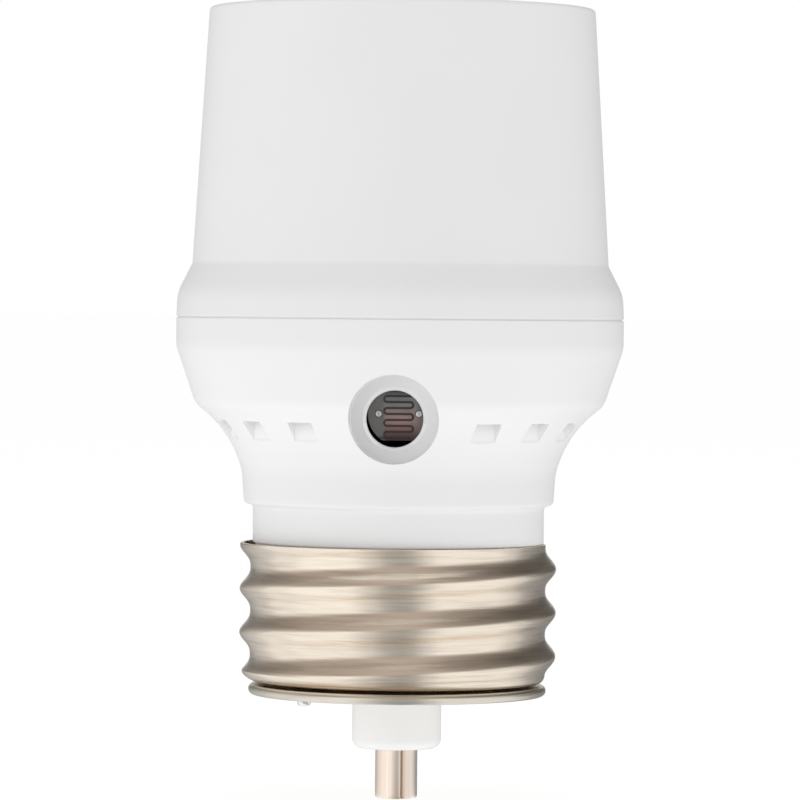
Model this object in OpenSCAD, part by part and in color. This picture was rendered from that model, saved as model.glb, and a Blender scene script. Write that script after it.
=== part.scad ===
// Screw-in photocell switch: a lamp adapter with a threaded lamp base below,
// a light sensor in the side of its bowl and a lamp socket above.
// The screw axis is Z, the tip of the contact pin is at the origin and the sensor faces -Y.

/* [Contact pin] */
// Outside diameter of the rolled pin
pin_d = 3.5; // [2.5:0.1:4.5]
// Length of the pin below the insulating stub
pin_out = 4.15; // [2:0.05:6]
// Thickness of the rolled sheet
pin_wall = 0.45; // [0.3:0.05:0.7]
// Width of the groove where the rolled edges meet
pin_groove_w = 0.4; // [0.2:0.05:0.6]
// Depth of that groove
pin_groove = 0.25; // [0.1:0.05:0.25]
// Direction of the groove, in degrees to the right of the sensor side
pin_groove_turn = 18; // [-180:1:180]
// Bevel at both ends of the pin
pin_bevel = 0.2; // [0.05:0.05:0.4]
// Length of the pin that stands above the floor of the base
pin_tail = 1.6; // [0.5:0.1:4]

/* [Insulating stub] */
// Diameter of the stub round the pin
stub_d = 7.4; // [6:0.1:9]
// Height of the stub below the end disc
stub_h = 4.45; // [3:0.05:7]
// Rounding of the lower edge of the stub
stub_round = 1.1; // [0.2:0.1:1.5]

/* [End disc] */
// Thickness of the disc sheet
disc_sheet = 0.35; // [0.2:0.05:0.6]
// Height of the rolled rim of the disc
disc_bead = 0.85; // [0.6:0.05:1.2]
// Width of the rolled rim of the disc
disc_bead_w = 0.95; // [0.8:0.05:1.5]
// How far the rim reaches past the root of the thread
disc_reach = 0.1; // [0:0.05:0.4]
// Dark gap between the rim and the screw shell
disc_gap = 0.15; // [0.05:0.05:0.4]

/* [Screw shell] */
// Crest diameter of the rolled thread
thread_d = 26.3; // [25.8:0.1:26.8]
// Depth of the rolled thread
thread_depth = 0.88; // [0.6:0.02:1]
// Rise of the thread in one turn
thread_pitch = 3.629; // [3.2:0.001:4]
// Direction of the crest at the lower end, in degrees
thread_turn = 262; // [0:1:360]
// Height of the shell
shell_h = 11.6; // [9:0.1:16]
// Thickness of the shell sheet
shell_sheet = 0.35; // [0.25:0.05:0.5]
// Outside radius of the bend at the lower end
shell_bend = 0.7; // [0.6:0.1:1.4]
// Width of the lip turned in under the core
shell_lip = 1.9; // [1.5:0.1:2]

/* [Neck] */
// Height of the bare neck above the shell
neck_h = 3.2; // [1:0.1:6]
// How far the neck stands out past the core inside the shell
neck_step = 0.28; // [0.1:0.02:0.6]
// How far the skirt stands out past the neck
skirt_step = 0.75; // [0.3:0.05:1.5]
// Height of the skirt
skirt_h = 2.9; // [1:0.1:5]
// Growth of the skirt radius over its height
skirt_taper = 0.2; // [0:0.05:0.5]
// Rounding of the lower edge of the skirt
skirt_round = 0.4; // [0.1:0.05:0.6]
// Rounding in the corner between neck and skirt
neck_round = 0.36; // [0.1:0.02:0.5]
// Thickness of the core wall inside the shell
core_wall = 1.4; // [1.2:0.1:2]
// Thickness of the core floor
core_floor = 1.6; // [1:0.1:3]

/* [Bowl] */
// Height of the hollow curve between skirt and bowl
cove_h = 5.4; // [4:0.05:7]
// Radius of the hollow curve
cove_r = 10.2; // [8:0.1:14]
// Height of the flared part of the bowl
bowl_flare_h = 4.75; // [4:0.05:8]
// Growth of the radius over the flared part
bowl_flare = 1.61; // [1:0.01:2.5]
// Rounding where the flare meets the upright band
bowl_round = 3; // [2:0.5:10]
// Height of the upright band below the seam
bowl_band_h = 2.35; // [1.5:0.05:5]
// Wall of the bowl
bowl_wall = 1.9; // [1.4:0.1:2.4]
// Rounding of the corner under the bowl
foot_round = 0.35; // [0.1:0.05:0.8]

/* [Seam] */
// Width of the line between the two housings
seam_gap = 0.12; // [0.05:0.01:0.3]
// Depth of the line between the two housings
seam_depth = 0.12; // [0.1:0.02:0.4]
// Height of the spigot inside the seam
spigot_h = 1.0; // [0.6:0.1:2]
// Wall of the spigot
spigot_wall = 1.3; // [0.9:0.1:1.8]
// Wall of the upper housing outside the spigot
lap_wall = 0.95; // [0.7:0.05:1.3]
// Rounding of the two edges at the seam
seam_round = 0.06; // [0.02:0.02:0.1]

/* [Vents] */
// Width of a vent pocket
vent_w = 2.3; // [1.5:0.1:3.5]
// Depth of a pocket at its top
vent_depth = 1.25; // [1:0.05:1.8]
// Drop of the pocket tops below the corner of the bowl
vent_drop = 1.3; // [0.6:0.05:1.6]
// Width of the slot that leads up from the back of a pocket
slot_w = 0.8; // [0.3:0.05:0.8]
// Angle between neighbouring vents
vent_pitch = 20; // [16:0.5:20.5]
// Angle from the sensor to the first vent on each side
vent_first = 30; // [28:0.5:31]
// Vents on each side of the sensor
vents_a_side = 8; // [1:1:8]

/* [Sensor port] */
// Diameter of the round port
port_d = 7.3; // [6:0.1:8]
// Diameter of the hole in the port floor
port_hole_d = 4.6; // [4:0.1:4.8]
// Drop of the port axis below the corner of the bowl
port_drop = 0.95; // [0:0.05:1.5]
// Depth of the port floor at its lowest edge
port_sink = 0.5; // [0.2:0.05:1]
// Dish of the port floor towards the hole
port_dish = 0.7; // [0.2:0.05:1.2]
// Thickness of the lip round the hole
port_lip = 0.3; // [0.15:0.05:0.6]
// Rounding of that lip
port_lip_round = 0.25; // [0.05:0.05:0.3]
// Wall of the boss behind the port
boss_wall = 1.2; // [0.8:0.1:2]

/* [Photocell] */
// Diameter of the ceramic body
cell_d = 5.0; // [4.8:0.1:5.6]
// Height of the body across its two flats
cell_flat = 4.3; // [4.2:0.1:4.8]
// Thickness of the ceramic body
cell_t = 2.1; // [1.5:0.1:3]
// Sideways shift of the cell in the port
cell_shift = 0.3; // [-0.4:0.05:0.4]
// Upward shift of the cell in the port
cell_rise = 0.4; // [-0.4:0.05:0.4]
// Thickness of the electrode film
film_t = 0.04; // [0.02:0.01:0.1]
// Thickness of the light-sensitive track
track_t = 0.06; // [0.02:0.01:0.12]
// Width of the track
track_w = 0.19; // [0.12:0.01:0.26]
// Distance between neighbouring runs of the track
track_pitch = 0.483; // [0.4:0.001:0.5]
// Number of runs of the track
track_runs = 9; // [5:2:9]
// Straight length of a run
track_run = 1.86; // [1.2:0.02:1.92]
// Distance between the two leads
cell_lead_pitch = 3.25; // [3.2:0.05:3.5]
// Diameter of a lead of the cell
cell_lead_d = 0.5; // [0.3:0.05:0.6]
// Distance from the back of the cell to the upright part of its leads
cell_lead_out = 1.2; // [0.8:0.1:1.6]
// Bare margin of the face round the electrode film
film_edge = 0.05; // [0.02:0.01:0.1]

/* [Upper housing] */
// Height from the seam to the foot of the cup
collar_h = 4.5; // [4:0.05:7]
// Height of the upright part of the collar
collar_band_h = 2.1; // [1.5:0.1:3]
// Draft of the upright part of the collar
collar_draft = 0.08; // [0:0.02:0.2]
// How far the collar stands out past the foot of the cup
collar_step = 1.3; // [0.8:0.05:2]
// Rounding of the collar shoulder
collar_round = 3.5; // [1:0.5:5]
// Rounding in the corner between shoulder and cup
cup_corner = 0.8; // [0.2:0.1:2]
// Height of the cup above its foot
cup_h = 21.25; // [18:0.05:30]
// Growth of the cup radius from rim to foot
cup_flare = 1.28; // [0.8:0.02:2]
// Wall of the cup
cup_wall = 1.6; // [1.2:0.1:2.2]
// Rounding of the rim
rim_round = 0.3; // [0.1:0.1:0.7]
// Height of the lip round the mouth
lip_h = 1.6; // [1:0.1:3]

/* [Lamp socket] */
// Radial play between a lamp thread and the socket thread
socket_play = 0.2; // [0.1:0.05:0.4]
// Height of the socket shell
socket_h = 18.5; // [14:0.1:20]
// Thickness of the socket sheet
socket_sheet = 0.35; // [0.25:0.05:0.5]
// Radial gap between the socket shell and the cup at the rim
socket_gap = 0.7; // [0.5:0.05:1.2]
// Radial gap between the socket shell and the mouth
mouth_gap = 0.35; // [0.2:0.05:0.45]
// Width of the flange at the bottom of the shell
socket_flange = 5.0; // [4.5:0.1:5.6]
// Thickness of the insulating carrier
carrier_t = 1.7; // [1.2:0.1:2.5]
// Distance from the bend of the socket shell to the heads of its rivets
rivet_inset = 0.42; // [0.1:0.02:0.8]
// Diameter of a rivet shank
rivet_d = 1.8; // [1.2:0.1:2.2]
// Diameter of a rivet head
rivet_head_d = 2.8; // [2.4:0.1:3.2]
// Height of a rivet head
rivet_head_h = 0.5; // [0.3:0.05:0.8]
// Height of the upright edge of a rivet head
rivet_edge_h = 0.17; // [0.1:0.01:0.25]
// Width of the centre contact
tongue_w = 5; // [3:0.1:6]
// Thickness of the centre contact
tongue_t = 0.4; // [0.25:0.05:0.6]
// Height of the free end of the centre contact
tongue_rise = 3.0; // [1.5:0.1:5]
// Distance of the contact rivet from the axis
tongue_rivet_y = 4.5; // [4:0.1:5]
// Sheet left round the head of the contact rivet
tongue_margin = 0.6; // [0.4:0.1:0.8]
// Reach of the free end past the axis
tongue_reach = 4.2; // [3.5:0.1:5]
// Length of the flat pad that meets the lamp
tongue_pad = 2.2; // [1.5:0.1:2.6]
// Length of the tip that is turned down
tongue_tip = 1.2; // [0.8:0.1:1.5]
// Drop of the tip that is turned down
tongue_tip_drop = 0.8; // [0.4:0.1:1.2]
// Radius of the bends of the centre contact
tongue_bend = 1.2; // [0.6:0.1:1.5]

/* [Circuit] */
// Thickness of the board
board_t = 1.6; // [0.8:0.1:2]
// Drop of the shoulder of the hollow below the board
hollow_drop = 1; // [0.5:0.1:1.5]
// Gap between the sensor boss and the board
board_gap = 0.45; // [0.3:0.05:1]
// Radial gap between the board and the bowl
board_play = 0.4; // [0.2:0.05:0.8]
// Width of the ledge of each rib under the board
rib_hold = 2.3; // [1.5:0.1:3]
// Thickness of a rib
rib_w = 1.2; // [0.8:0.1:2]
// Height of the feet of the ribs above the corner of the hollow
rib_lift = 0.3; // [0.1:0.05:0.8]
// Diameter of a post between carrier and board
post_d = 2.4; // [1.6:0.1:3]
// Diameter of the capacitor can
can_d = 8; // [6:0.5:9]
// Height of the capacitor can
can_h = 7; // [5:0.5:8]
// Rounding of the two edges of the can
can_round = 0.45; // [0.2:0.05:0.8]
// Depth of the groove that holds the seal in the can
can_groove = 0.35; // [0.1:0.05:0.5]
// Distance from the groove to the end of the can
can_groove_drop = 1.3; // [1:0.1:1.6]
// Gap between the can and the board
can_gap = 0.5; // [0.2:0.1:0.8]
// Diameter of a diode body
diode_d = 2.7; // [2:0.1:3]
// Length of a diode body
diode_l = 5.2; // [4:0.1:5.6]
// Diameter of a resistor body
resistor_d = 2.4; // [1.8:0.1:2.8]
// Length of a resistor body
resistor_l = 6.3; // [5:0.1:6.6]
// Length of the two thicker ends of a resistor
resistor_cap_l = 1.5; // [1:0.1:2]
// How far those ends stand out past the middle of a resistor
resistor_cap = 0.2; // [0.1:0.05:0.3]
// Rounding of the edges of the lying parts
axial_round = 0.4; // [0.1:0.05:0.6]
// Diameter of the legs of the board's parts
leg_d = 0.6; // [0.4:0.05:0.8]
// Length of the legs above the board
leg_end = 0.6; // [0.3:0.1:0.8]
// Radius of the bends in the legs and the cell's leads
leg_bend = 0.5; // [0.4:0.05:0.5]
// Distance from the board to the middle of a lying part
axial_drop = 2; // [1.8:0.1:2.5]
// Diameter of the insulated leads
lead_d = 1.1; // [0.8:0.1:1.4]
// Diameter of the bare end of the line lead in the pin
line_bare_d = 1.0; // [0.6:0.1:1.2]
// Length of the bare end of the line lead above the pin
line_bare = 1.0; // [0.5:0.1:1.2]
// Diameter of the bare end of the neutral lead
bare_d = 0.5; // [0.3:0.05:0.5]
// Direction of the solder dab, in degrees to the left of the sensor side
dab_turn = 49; // [36:0.5:62]
// Diameter of the solder dab
dab_d = 1.4; // [1:0.1:1.8]
// Height of the solder dab
dab_h = 1.2; // [0.8:0.05:1.5]
// Rounding of the solder dab
dab_round = 0.42; // [0.2:0.02:0.5]
// Draft of the side of the solder dab
dab_draft = 0.07; // [0:0.01:0.15]

/* [Hidden] */

$fn = 96;
// Largest turn of one step along a rounded corner, in degrees
arc_step = 6;
// Play of sliding and press fits
fit = 0.05;
// Overrun of a cut past the surface it opens
over = 1;
// Rounding of small plain edges
edge_round = 0.15;
// Largest share of an edge that one rounding takes
corner_share = 0.48;
// Steps along the hollow curve under the bowl, outside, inside and in mid-wall
cove_steps = 8;
cove_in_steps = 6;
cove_mid_steps = 4;
// Steps of the two threads round the axis, and along one turn
thread_sides = 40;
socket_sides = 36;
thread_steps = 7;
// Steps round the bend at the lower end of a threaded shell
bend_steps = 3;
// Sharpness of the thread crest, where 1 is a plain wave
thread_crest = 1.4;
// Length over which the thread grows or fades out
thread_fade = 1;

// Levels along the axis, from the pin tip upwards
stub_z = pin_out;
disc_z = stub_z + stub_h;
shell_z = disc_z + disc_bead + disc_gap;
core_z = shell_z + shell_sheet;
neck_z = shell_z + shell_h;
skirt_z = neck_z + neck_h;
cove_z = skirt_z + skirt_h;
foot_z = cove_z + cove_h;
band_z = foot_z + bowl_flare_h;
seam_z = band_z + bowl_band_h;
carrier_z = seam_z + spigot_h;
socket_z = carrier_z + carrier_t;
cup_z = seam_z + collar_h;
rim_z = cup_z + cup_h;
port_z = foot_z - port_drop;
vent_z = foot_z - vent_drop;

// Radii of the screw base
pin_r = pin_d / 2;
stub_r = stub_d / 2;
root_r = thread_d / 2 - thread_depth;
core_r = root_r - shell_sheet - 2 * fit;
neck_r = core_r + neck_step;
skirt_r = neck_r + skirt_step;
skirt_top_r = skirt_r + skirt_taper;
disc_r = root_r + disc_reach;

// Radii of the lamp socket and the housings round it
socket_root_r = root_r + socket_play + socket_sheet;
socket_out_r = socket_root_r + thread_depth;
rivet_circle_r = socket_root_r - shell_bend - rivet_head_d / 2 - rivet_inset;
mouth_r = socket_out_r + mouth_gap;
rim_r = socket_out_r + socket_gap + cup_wall;
cup_r = rim_r + cup_flare;
bowl_r = cup_r + collar_step;
foot_r = bowl_r - bowl_flare;
foot_in_r = foot_r - bowl_wall;
lap_r = bowl_r - lap_wall;
spigot_r = lap_r - fit;
spigot_in_r = spigot_r - spigot_wall;
carrier_r = (spigot_r + spigot_in_r) / 2;
pocket_r = carrier_r + 2 * fit;

// Hollow curve under the bowl: its centre, and its radius at a height
cove_low = [skirt_top_r, cove_z];
cove_high = [foot_r, foot_z];
cove_mid = (cove_low + cove_high) / 2;
cove_chord = cove_high - cove_low;
cove_off = sqrt(cove_r * cove_r - cove_chord * cove_chord / 4) / norm(cove_chord);
cove_c = cove_mid + cove_off * [cove_chord[1], -cove_chord[0]];
function cove_at(z, wall = 0) = cove_c[0] - sqrt(pow(cove_r + wall, 2) - pow(z - cove_c[1], 2));
function cove_level(r, wall = 0) = cove_c[1] + sqrt(pow(cove_r + wall, 2) - pow(cove_c[0] - r, 2));

// Depths of the sensor port, measured from the axis towards the sensor side
port_r = port_d / 2;
port_hole_r = port_hole_d / 2;
port_floor_y = cove_at(port_z - port_r) - port_sink;
port_lip_y = port_floor_y - port_dish;
cell_seat_y = port_lip_y - port_lip;
cell_y = cell_seat_y - fit - track_t;
cell_back_y = cell_y - cell_t;
cell_z = port_z + cell_rise;
cell_pocket_r = cell_d / 2 + norm([cell_shift, cell_rise]) + 2 * fit;
boss_r = max(port_r, cell_pocket_r) + boss_wall;
boss_y = cell_back_y - fit;

// Circuit board under the carrier
board_z = port_z + boss_r + board_gap;
board_top = board_z + board_t;
board_r = spigot_in_r - board_play;
hollow_z = board_z - hollow_drop;
rib_r = board_r - rib_hold;
rib_turns = [for (side = [-1, 1], step = [0.5, 4.5]) side * (vent_first + step * vent_pitch)];
post_circle_r = board_r - post_d / 2 - fit;
cell_lead_y = cell_back_y - cell_lead_out;
cell_lead_x = [for (side = [-1, 1]) cell_shift + side * cell_lead_pitch / 2];

// Places of the parts under the board
can_at = [0, 5];
can_leg_pitch = 3.5;
thyristor_at = [-6.4, 0];
thyristor_size = [3.6, 4.6, 4.8];
thyristor_leg_pitch = 1.4;
thyristor_drop = 3;
diode_x = 5.9;
diode_y = 4.3;
diode_row = 3.4;
diode_at = [for (i = [0, 1], side = [-1, 1]) [diode_x + i * diode_row, side * diode_y]];
diode_span = 7.2;
across_resistor_at = [[0, 11.2], [0, -5.6]];
along_resistor_at = [-10.2, 0];
resistor_span = 8.6;

// Direction of the dab and the bare end of the neutral lead
dab_dir = [-sin(dab_turn), -cos(dab_turn)];
core_in_r = core_r - core_wall;
neutral_r = core_in_r - lead_d / 2 - fit;
plate_z = shell_z - disc_sheet;
bare_z = plate_z - dab_h / 2;
bare_top = core_z + core_floor;

// Levels of the leads between the board and the rivets of the carrier
lead_z = board_top + 0.9;
lead_rise = 0.45;
tail_z = carrier_z - rivet_head_h;

// Levels at which the line lead leaves the axis and reaches its place under the board
line_leave_z = neck_z - 3;
line_mid_z = neck_z + 1;
line_reach_z = neck_z + 6;

// Routes of the leads: each point is [x, y, z, diameter]
function beside(r, z, d) = [dab_dir[0] * r, dab_dir[1] * r, z, d];
line_route = [
    [0, 0, bare_top, line_bare_d],
    [0, 0, bare_top + pin_tail + line_bare, line_bare_d],
    [0, 0, bare_top + pin_tail + line_bare + 2 * fit, lead_d],
    [0, 0, line_leave_z, lead_d],
    [1.2, -1, line_mid_z, lead_d],
    [2.4, -2, line_reach_z, lead_d],
    [2.4, -2, board_z, lead_d]
];
neutral_route = [
    beside(neutral_r, bare_z, bare_d),
    beside(neutral_r, bare_top, bare_d),
    beside(neutral_r, bare_top + 2 * fit, lead_d),
    beside(neutral_r, board_top, lead_d),
    [-7.3, -5.8, lead_z - 0.1, lead_d],
    [-8.8, -3.2, lead_z, lead_d],
    [-9.7, -0.8, lead_z, lead_d],
    [-rivet_circle_r, 0, tail_z - lead_rise, lead_d],
    [-rivet_circle_r, 0, tail_z, lead_d]
];
switched_route = [
    [4.4, -1.6, board_top, lead_d],
    [4.4, -1.6, board_top + lead_rise, lead_d],
    [3.9, -0.9, lead_z, lead_d],
    [2.2, 1.6, lead_z, lead_d],
    [0.3, 3.8, lead_z, lead_d],
    [0, tongue_rivet_y, tail_z - lead_rise, lead_d],
    [0, tongue_rivet_y, tail_z, lead_d]
];

// Points of a corner [r, z, rounding] between its two neighbours
function unit(v) = v / norm(v);
function flat(p) = [p[0], p[1]];
function turn_to(a) = a > 180 ? a - 360 : a < -180 ? a + 360 : a;
function heading(v) = atan2(v[1], v[0]);
function rounded_corner(before, at, after) =
    let (p = flat(at), a = flat(before) - p, b = flat(after) - p)
    let (half = acos(unit(a) * unit(b)) / 2)
    let (reach = min(at[2] / tan(half), corner_share * norm(a), corner_share * norm(b)))
    let (radius = reach * tan(half), centre = p + unit(unit(a) + unit(b)) * radius / sin(half))
    let (first = heading(p + unit(a) * reach - centre), last = heading(p + unit(b) * reach - centre))
    let (turn = turn_to(last - first), steps = max(1, ceil(abs(turn) / arc_step)))
    [for (i = [0:steps]) let (t = first + turn * i / steps) centre + radius * [cos(t), sin(t)]];
function outline(corners) =
    let (n = len(corners))
    [for (i = [0:n - 1])
        let (at = corners[i])
        each at[2] == 0
            ? [flat(at)]
            : rounded_corner(corners[(i + n - 1) % n], at, corners[(i + 1) % n])];

// Points along the hollow curve, on its face or a wall thickness inside it
function cove_points(z0, z1, wall, steps) =
    [for (i = [0:steps]) let (z = z0 + (z1 - z0) * i / steps) [cove_at(z, wall), z, 0]];

// Open path with a bend of one radius at each of its inner points
function bent(path, radius) =
    let (last = len(path) - 1)
    concat(
        [path[0]],
        [for (i = [1:last - 1])
            each rounded_corner(path[i - 1], [path[i][0], path[i][1], radius], path[i + 1])],
        [path[last]]);

// Strip of even thickness to the left of a path
function left_of(d) = [-d[1], d[0]];
function step_at(path, i) =
    let (k = max(0, min(i, len(path) - 2)))
    unit(path[k + 1] - path[k]);
function mitre(path, i) =
    let (n = unit(left_of(step_at(path, i - 1)) + left_of(step_at(path, i))))
    n / (n * left_of(step_at(path, i)));
function strip(path, t) =
    concat(path, [for (i = [len(path) - 1:-1:0]) path[i] + t * mitre(path, i)]);

module lathe(corners) {
    rotate_extrude() polygon(outline(corners));
}

// Lathe form whose axis points to the sensor side: corners are [r, distance from the axis]
module port_lathe(corners, x = 0, z = port_z) {
    translate([x, 0, z]) rotate([90, 0, 0]) lathe(corners);
}

// Round tube along a route of [x, y, z, diameter]
module tube(route, sides = 8) {
    last = len(route) - 1;
    guide = [0.83, 0.41, 0.38];
    at = [for (p = route) [p[0], p[1], p[2]]];
    points = [for (i = [0:last])
        let (along = unit(at[min(i + 1, last)] - at[max(i - 1, 0)]))
        let (end_up = i == 0 || i == last ? unit(at[max(i, 1)] - at[max(i, 1) - 1]) : along)
        let (u = unit(cross(end_up, guide)), v = cross(end_up, u))
        for (k = [0:sides - 1])
            at[i] + route[i][3] / 2 * (u * cos(360 * k / sides) + v * sin(360 * k / sides))];
    walls = [for (i = [0:last - 1], k = [0:sides - 1])
        let (a = i * sides + k, b = i * sides + (k + 1) % sides)
        each [[a, a + sides, b], [b, a + sides, b + sides]]];
    start_cap = [for (k = [0:sides - 1]) k];
    end_cap = [for (k = [sides - 1:-1:0]) last * sides + k];
    polyhedron(points, concat(walls, [start_cap, end_cap]));
}

// Height of the rolled thread above its root, from 0 to 1
function crest(z, turn) =
    pow((1 + cos(360 * z / thread_pitch - turn + thread_turn)) / 2, thread_crest);

// Threaded sheet cup with a lip turned in at its lower end
module threaded_shell(z0, height, root, sheet, bend, lip, top_fade, sides) {
    z1 = z0 + height;
    wall_z = z0 + bend;
    steps = ceil((z1 - wall_z) / thread_pitch * thread_steps);
    function grown(z) = max(0, min(1, (z - z0) / thread_fade));
    // Each row is [z, radius without thread, share of the thread depth]
    wall_rows = [for (i = [0:steps])
        let (z = wall_z + (z1 - wall_z) * i / steps)
        let (left = top_fade > 0 ? (z1 - z) / top_fade : 1)
        [z, root, max(0, min(grown(z), left))]];
    function bend_row(radius, i) =
        let (t = -90 + 90 * i / bend_steps)
        [wall_z + radius * sin(t), root - bend + radius * cos(t), grown(wall_z + bend * sin(t))];
    outer = concat([[z0, root - lip, 0]], [for (i = [0:bend_steps - 1]) bend_row(bend, i)], wall_rows);
    inner = concat(
        [for (i = [steps:-1:0]) wall_rows[i] - [0, sheet, 0]],
        [for (i = [bend_steps - 1:-1:0]) bend_row(bend - sheet, i)],
        [[z0 + sheet, root - lip, 0]]);
    rows = concat(outer, inner);
    count = len(rows);
    points = [for (row = rows, k = [0:sides - 1])
        let (turn = 360 * k / sides)
        let (r = row[1] + thread_depth * row[2] * crest(row[0], turn))
        [r * cos(turn), r * sin(turn), row[0]]];
    faces = [for (i = [0:count - 1], k = [0:sides - 1])
        let (next = (i + 1) % count, side = (k + 1) % sides)
        let (a = i * sides + k, b = i * sides + side, c = next * sides + side, d = next * sides + k)
        each [[a, d, c], [a, c, b]]];
    polyhedron(points, faces);
}

// Legs of a part that lies along X under the board, bent up through the board
module axial_legs(body_l, span) {
    rise = axial_drop + board_t + leg_end;
    for (side = [-1, 1])
        tube([
            [side * (body_l / 2 - leg_bend), 0, 0, leg_d],
            [side * (span / 2 - leg_bend), 0, 0, leg_d],
            [side * (span / 2 - leg_bend / 4), 0, leg_bend / 4, leg_d],
            [side * span / 2, 0, leg_bend, leg_d],
            [side * span / 2, 0, rise, leg_d]
        ]);
}

// Diode lying along X
module diode() {
    r = diode_d / 2;
    end = diode_l / 2;
    rotate([0, 90, 0])
        lathe([[0, -end, 0], [r, -end, axial_round], [r, end, axial_round], [0, end, 0]]);
    axial_legs(diode_l, diode_span);
}

// Resistor lying along X, with thicker ends
module resistor() {
    r = resistor_d / 2;
    end = resistor_l / 2;
    cap = end - resistor_cap_l;
    rotate([0, 90, 0])
        lathe([
            [0, -end, 0],
            [r, -end, axial_round],
            [r, -cap, axial_round],
            [r - resistor_cap, -cap + resistor_cap, axial_round],
            [r - resistor_cap, cap - resistor_cap, axial_round],
            [r, cap, axial_round],
            [r, end, axial_round],
            [0, end, 0]
        ]);
    axial_legs(resistor_l, resistor_span);
}

// Rivet on Z from its tail head under z0 to its upper head above z1
module rivet(z0, z1) {
    head_r = rivet_head_d / 2;
    shank_r = rivet_d / 2;
    lathe([
        [0, z0 - rivet_head_h, 0],
        [shank_r, z0 - rivet_head_h, edge_round],
        [head_r, z0 - rivet_edge_h, edge_round],
        [head_r, z0, 0],
        [shank_r, z0, 0],
        [shank_r, z1, 0],
        [head_r, z1, 0],
        [head_r, z1 + rivet_edge_h, edge_round],
        [shank_r, z1 + rivet_head_h, 2 * edge_round],
        [0, z1 + rivet_head_h, 0]
    ]);
}

module leg_hole(at, d = leg_d) {
    translate([at[0], at[1], board_z - over])
        cylinder(d = d + 4 * fit, h = board_t + 2 * over);
}

// Outer form of the lower housing, without its hollow
module base_form() {
    lathe(concat(
        [
            [0, stub_z, 0],
            [stub_r, stub_z, stub_round],
            [stub_r, core_z, 0],
            [core_r, core_z, shell_bend - shell_sheet + 2 * fit],
            [core_r, neck_z, 0],
            [neck_r, neck_z, edge_round],
            [neck_r, skirt_z, neck_round],
            [skirt_r, skirt_z, skirt_round]
        ],
        cove_points(cove_z, foot_z - foot_round / 4, 0, cove_steps),
        [
            [foot_r, foot_z, foot_round],
            [bowl_r, band_z, bowl_round],
            [bowl_r, seam_z, seam_round],
            [spigot_r, seam_z, 0],
            [spigot_r, carrier_z, edge_round],
            [0, carrier_z, 0]
        ]));
}

// Hollow of the lower housing
module base_hollow() {
    cove_in_z = cove_level(skirt_top_r - bowl_wall + edge_round, bowl_wall);
    lathe(concat(
        [
            [0, core_z + core_floor, 0],
            [core_in_r, core_z + core_floor, edge_round],
            [core_in_r, skirt_z, 2 * edge_round]
        ],
        cove_points(cove_in_z, cove_level(foot_in_r, bowl_wall), bowl_wall, cove_in_steps),
        [
            [spigot_in_r, hollow_z, 0],
            [spigot_in_r, carrier_z + over, 0],
            [0, carrier_z + over, 0]
        ]));
}

// Boss behind the sensor port, ending in the middle of the wall
module port_boss() {
    mid = bowl_wall / 2;
    intersection() {
        port_lathe([[0, boss_y, 0], [boss_r, boss_y, 2 * edge_round], [boss_r, bowl_r, 0], [0, bowl_r, 0]]);
        lathe(concat(
            [[0, skirt_z, 0], [skirt_r - mid, skirt_z, 0]],
            cove_points(cove_z, foot_z, mid, cove_mid_steps),
            [[bowl_r - mid, band_z, 0], [bowl_r - mid, seam_z, 0], [0, seam_z, 0]]));
    }
}

// Rib under the edge of the board, rooted in the wall
module board_rib() {
    root = bowl_wall / 4;
    low_z = cove_level(foot_in_r, bowl_wall) + rib_lift;
    rotate([90, 0, -90])
        linear_extrude(rib_w, center = true)
            polygon([
                [rib_r, low_z],
                [foot_in_r + root, low_z],
                [spigot_in_r + root, hollow_z],
                [spigot_in_r + root, board_z],
                [rib_r, board_z]
            ]);
}

// Pocket under the corner of the bowl, with a slot up through its ceiling into the hollow
module vent_cut() {
    back_r = cove_at(vent_z) - vent_depth;
    slot_r = back_r + slot_w;
    slot_z = cove_level(slot_r, bowl_wall) + over / 2;
    rotate([90, 0, -90])
        linear_extrude(vent_w, center = true)
            polygon([
                [back_r, cove_z],
                [foot_r + over, cove_z],
                [foot_r + over, vent_z],
                [slot_r, vent_z],
                [slot_r, slot_z],
                [back_r, slot_z]
            ]);
}

module port_cut() {
    port_lathe([
        [0, boss_y - over, 0],
        [cell_pocket_r, boss_y - over, 0],
        [cell_pocket_r, cell_seat_y, 0],
        [port_hole_r, cell_seat_y, 0],
        [port_hole_r, port_lip_y, port_lip_round],
        [port_r, port_floor_y, edge_round],
        [port_r, bowl_r + over, 0],
        [0, bowl_r + over, 0]
    ]);
}

module base_housing() {
    color("#eeeeec")
    difference() {
        union() {
            difference() {
                base_form();
                base_hollow();
            }
            port_boss();
            for (turn = rib_turns)
                rotate([0, 0, turn]) board_rib();
        }
        for (side = [-1, 1], k = [0:vents_a_side - 1])
            rotate([0, 0, side * (vent_first + k * vent_pitch)]) vent_cut();
        port_cut();
        translate([0, 0, stub_z - over])
            cylinder(r = pin_r + fit, h = core_z - stub_z + core_floor + 2 * over);
        translate([dab_dir[0] * neutral_r, dab_dir[1] * neutral_r, core_z - over])
            cylinder(d = bare_d + 4 * fit, h = core_floor + 2 * over);
    }
}

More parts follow.
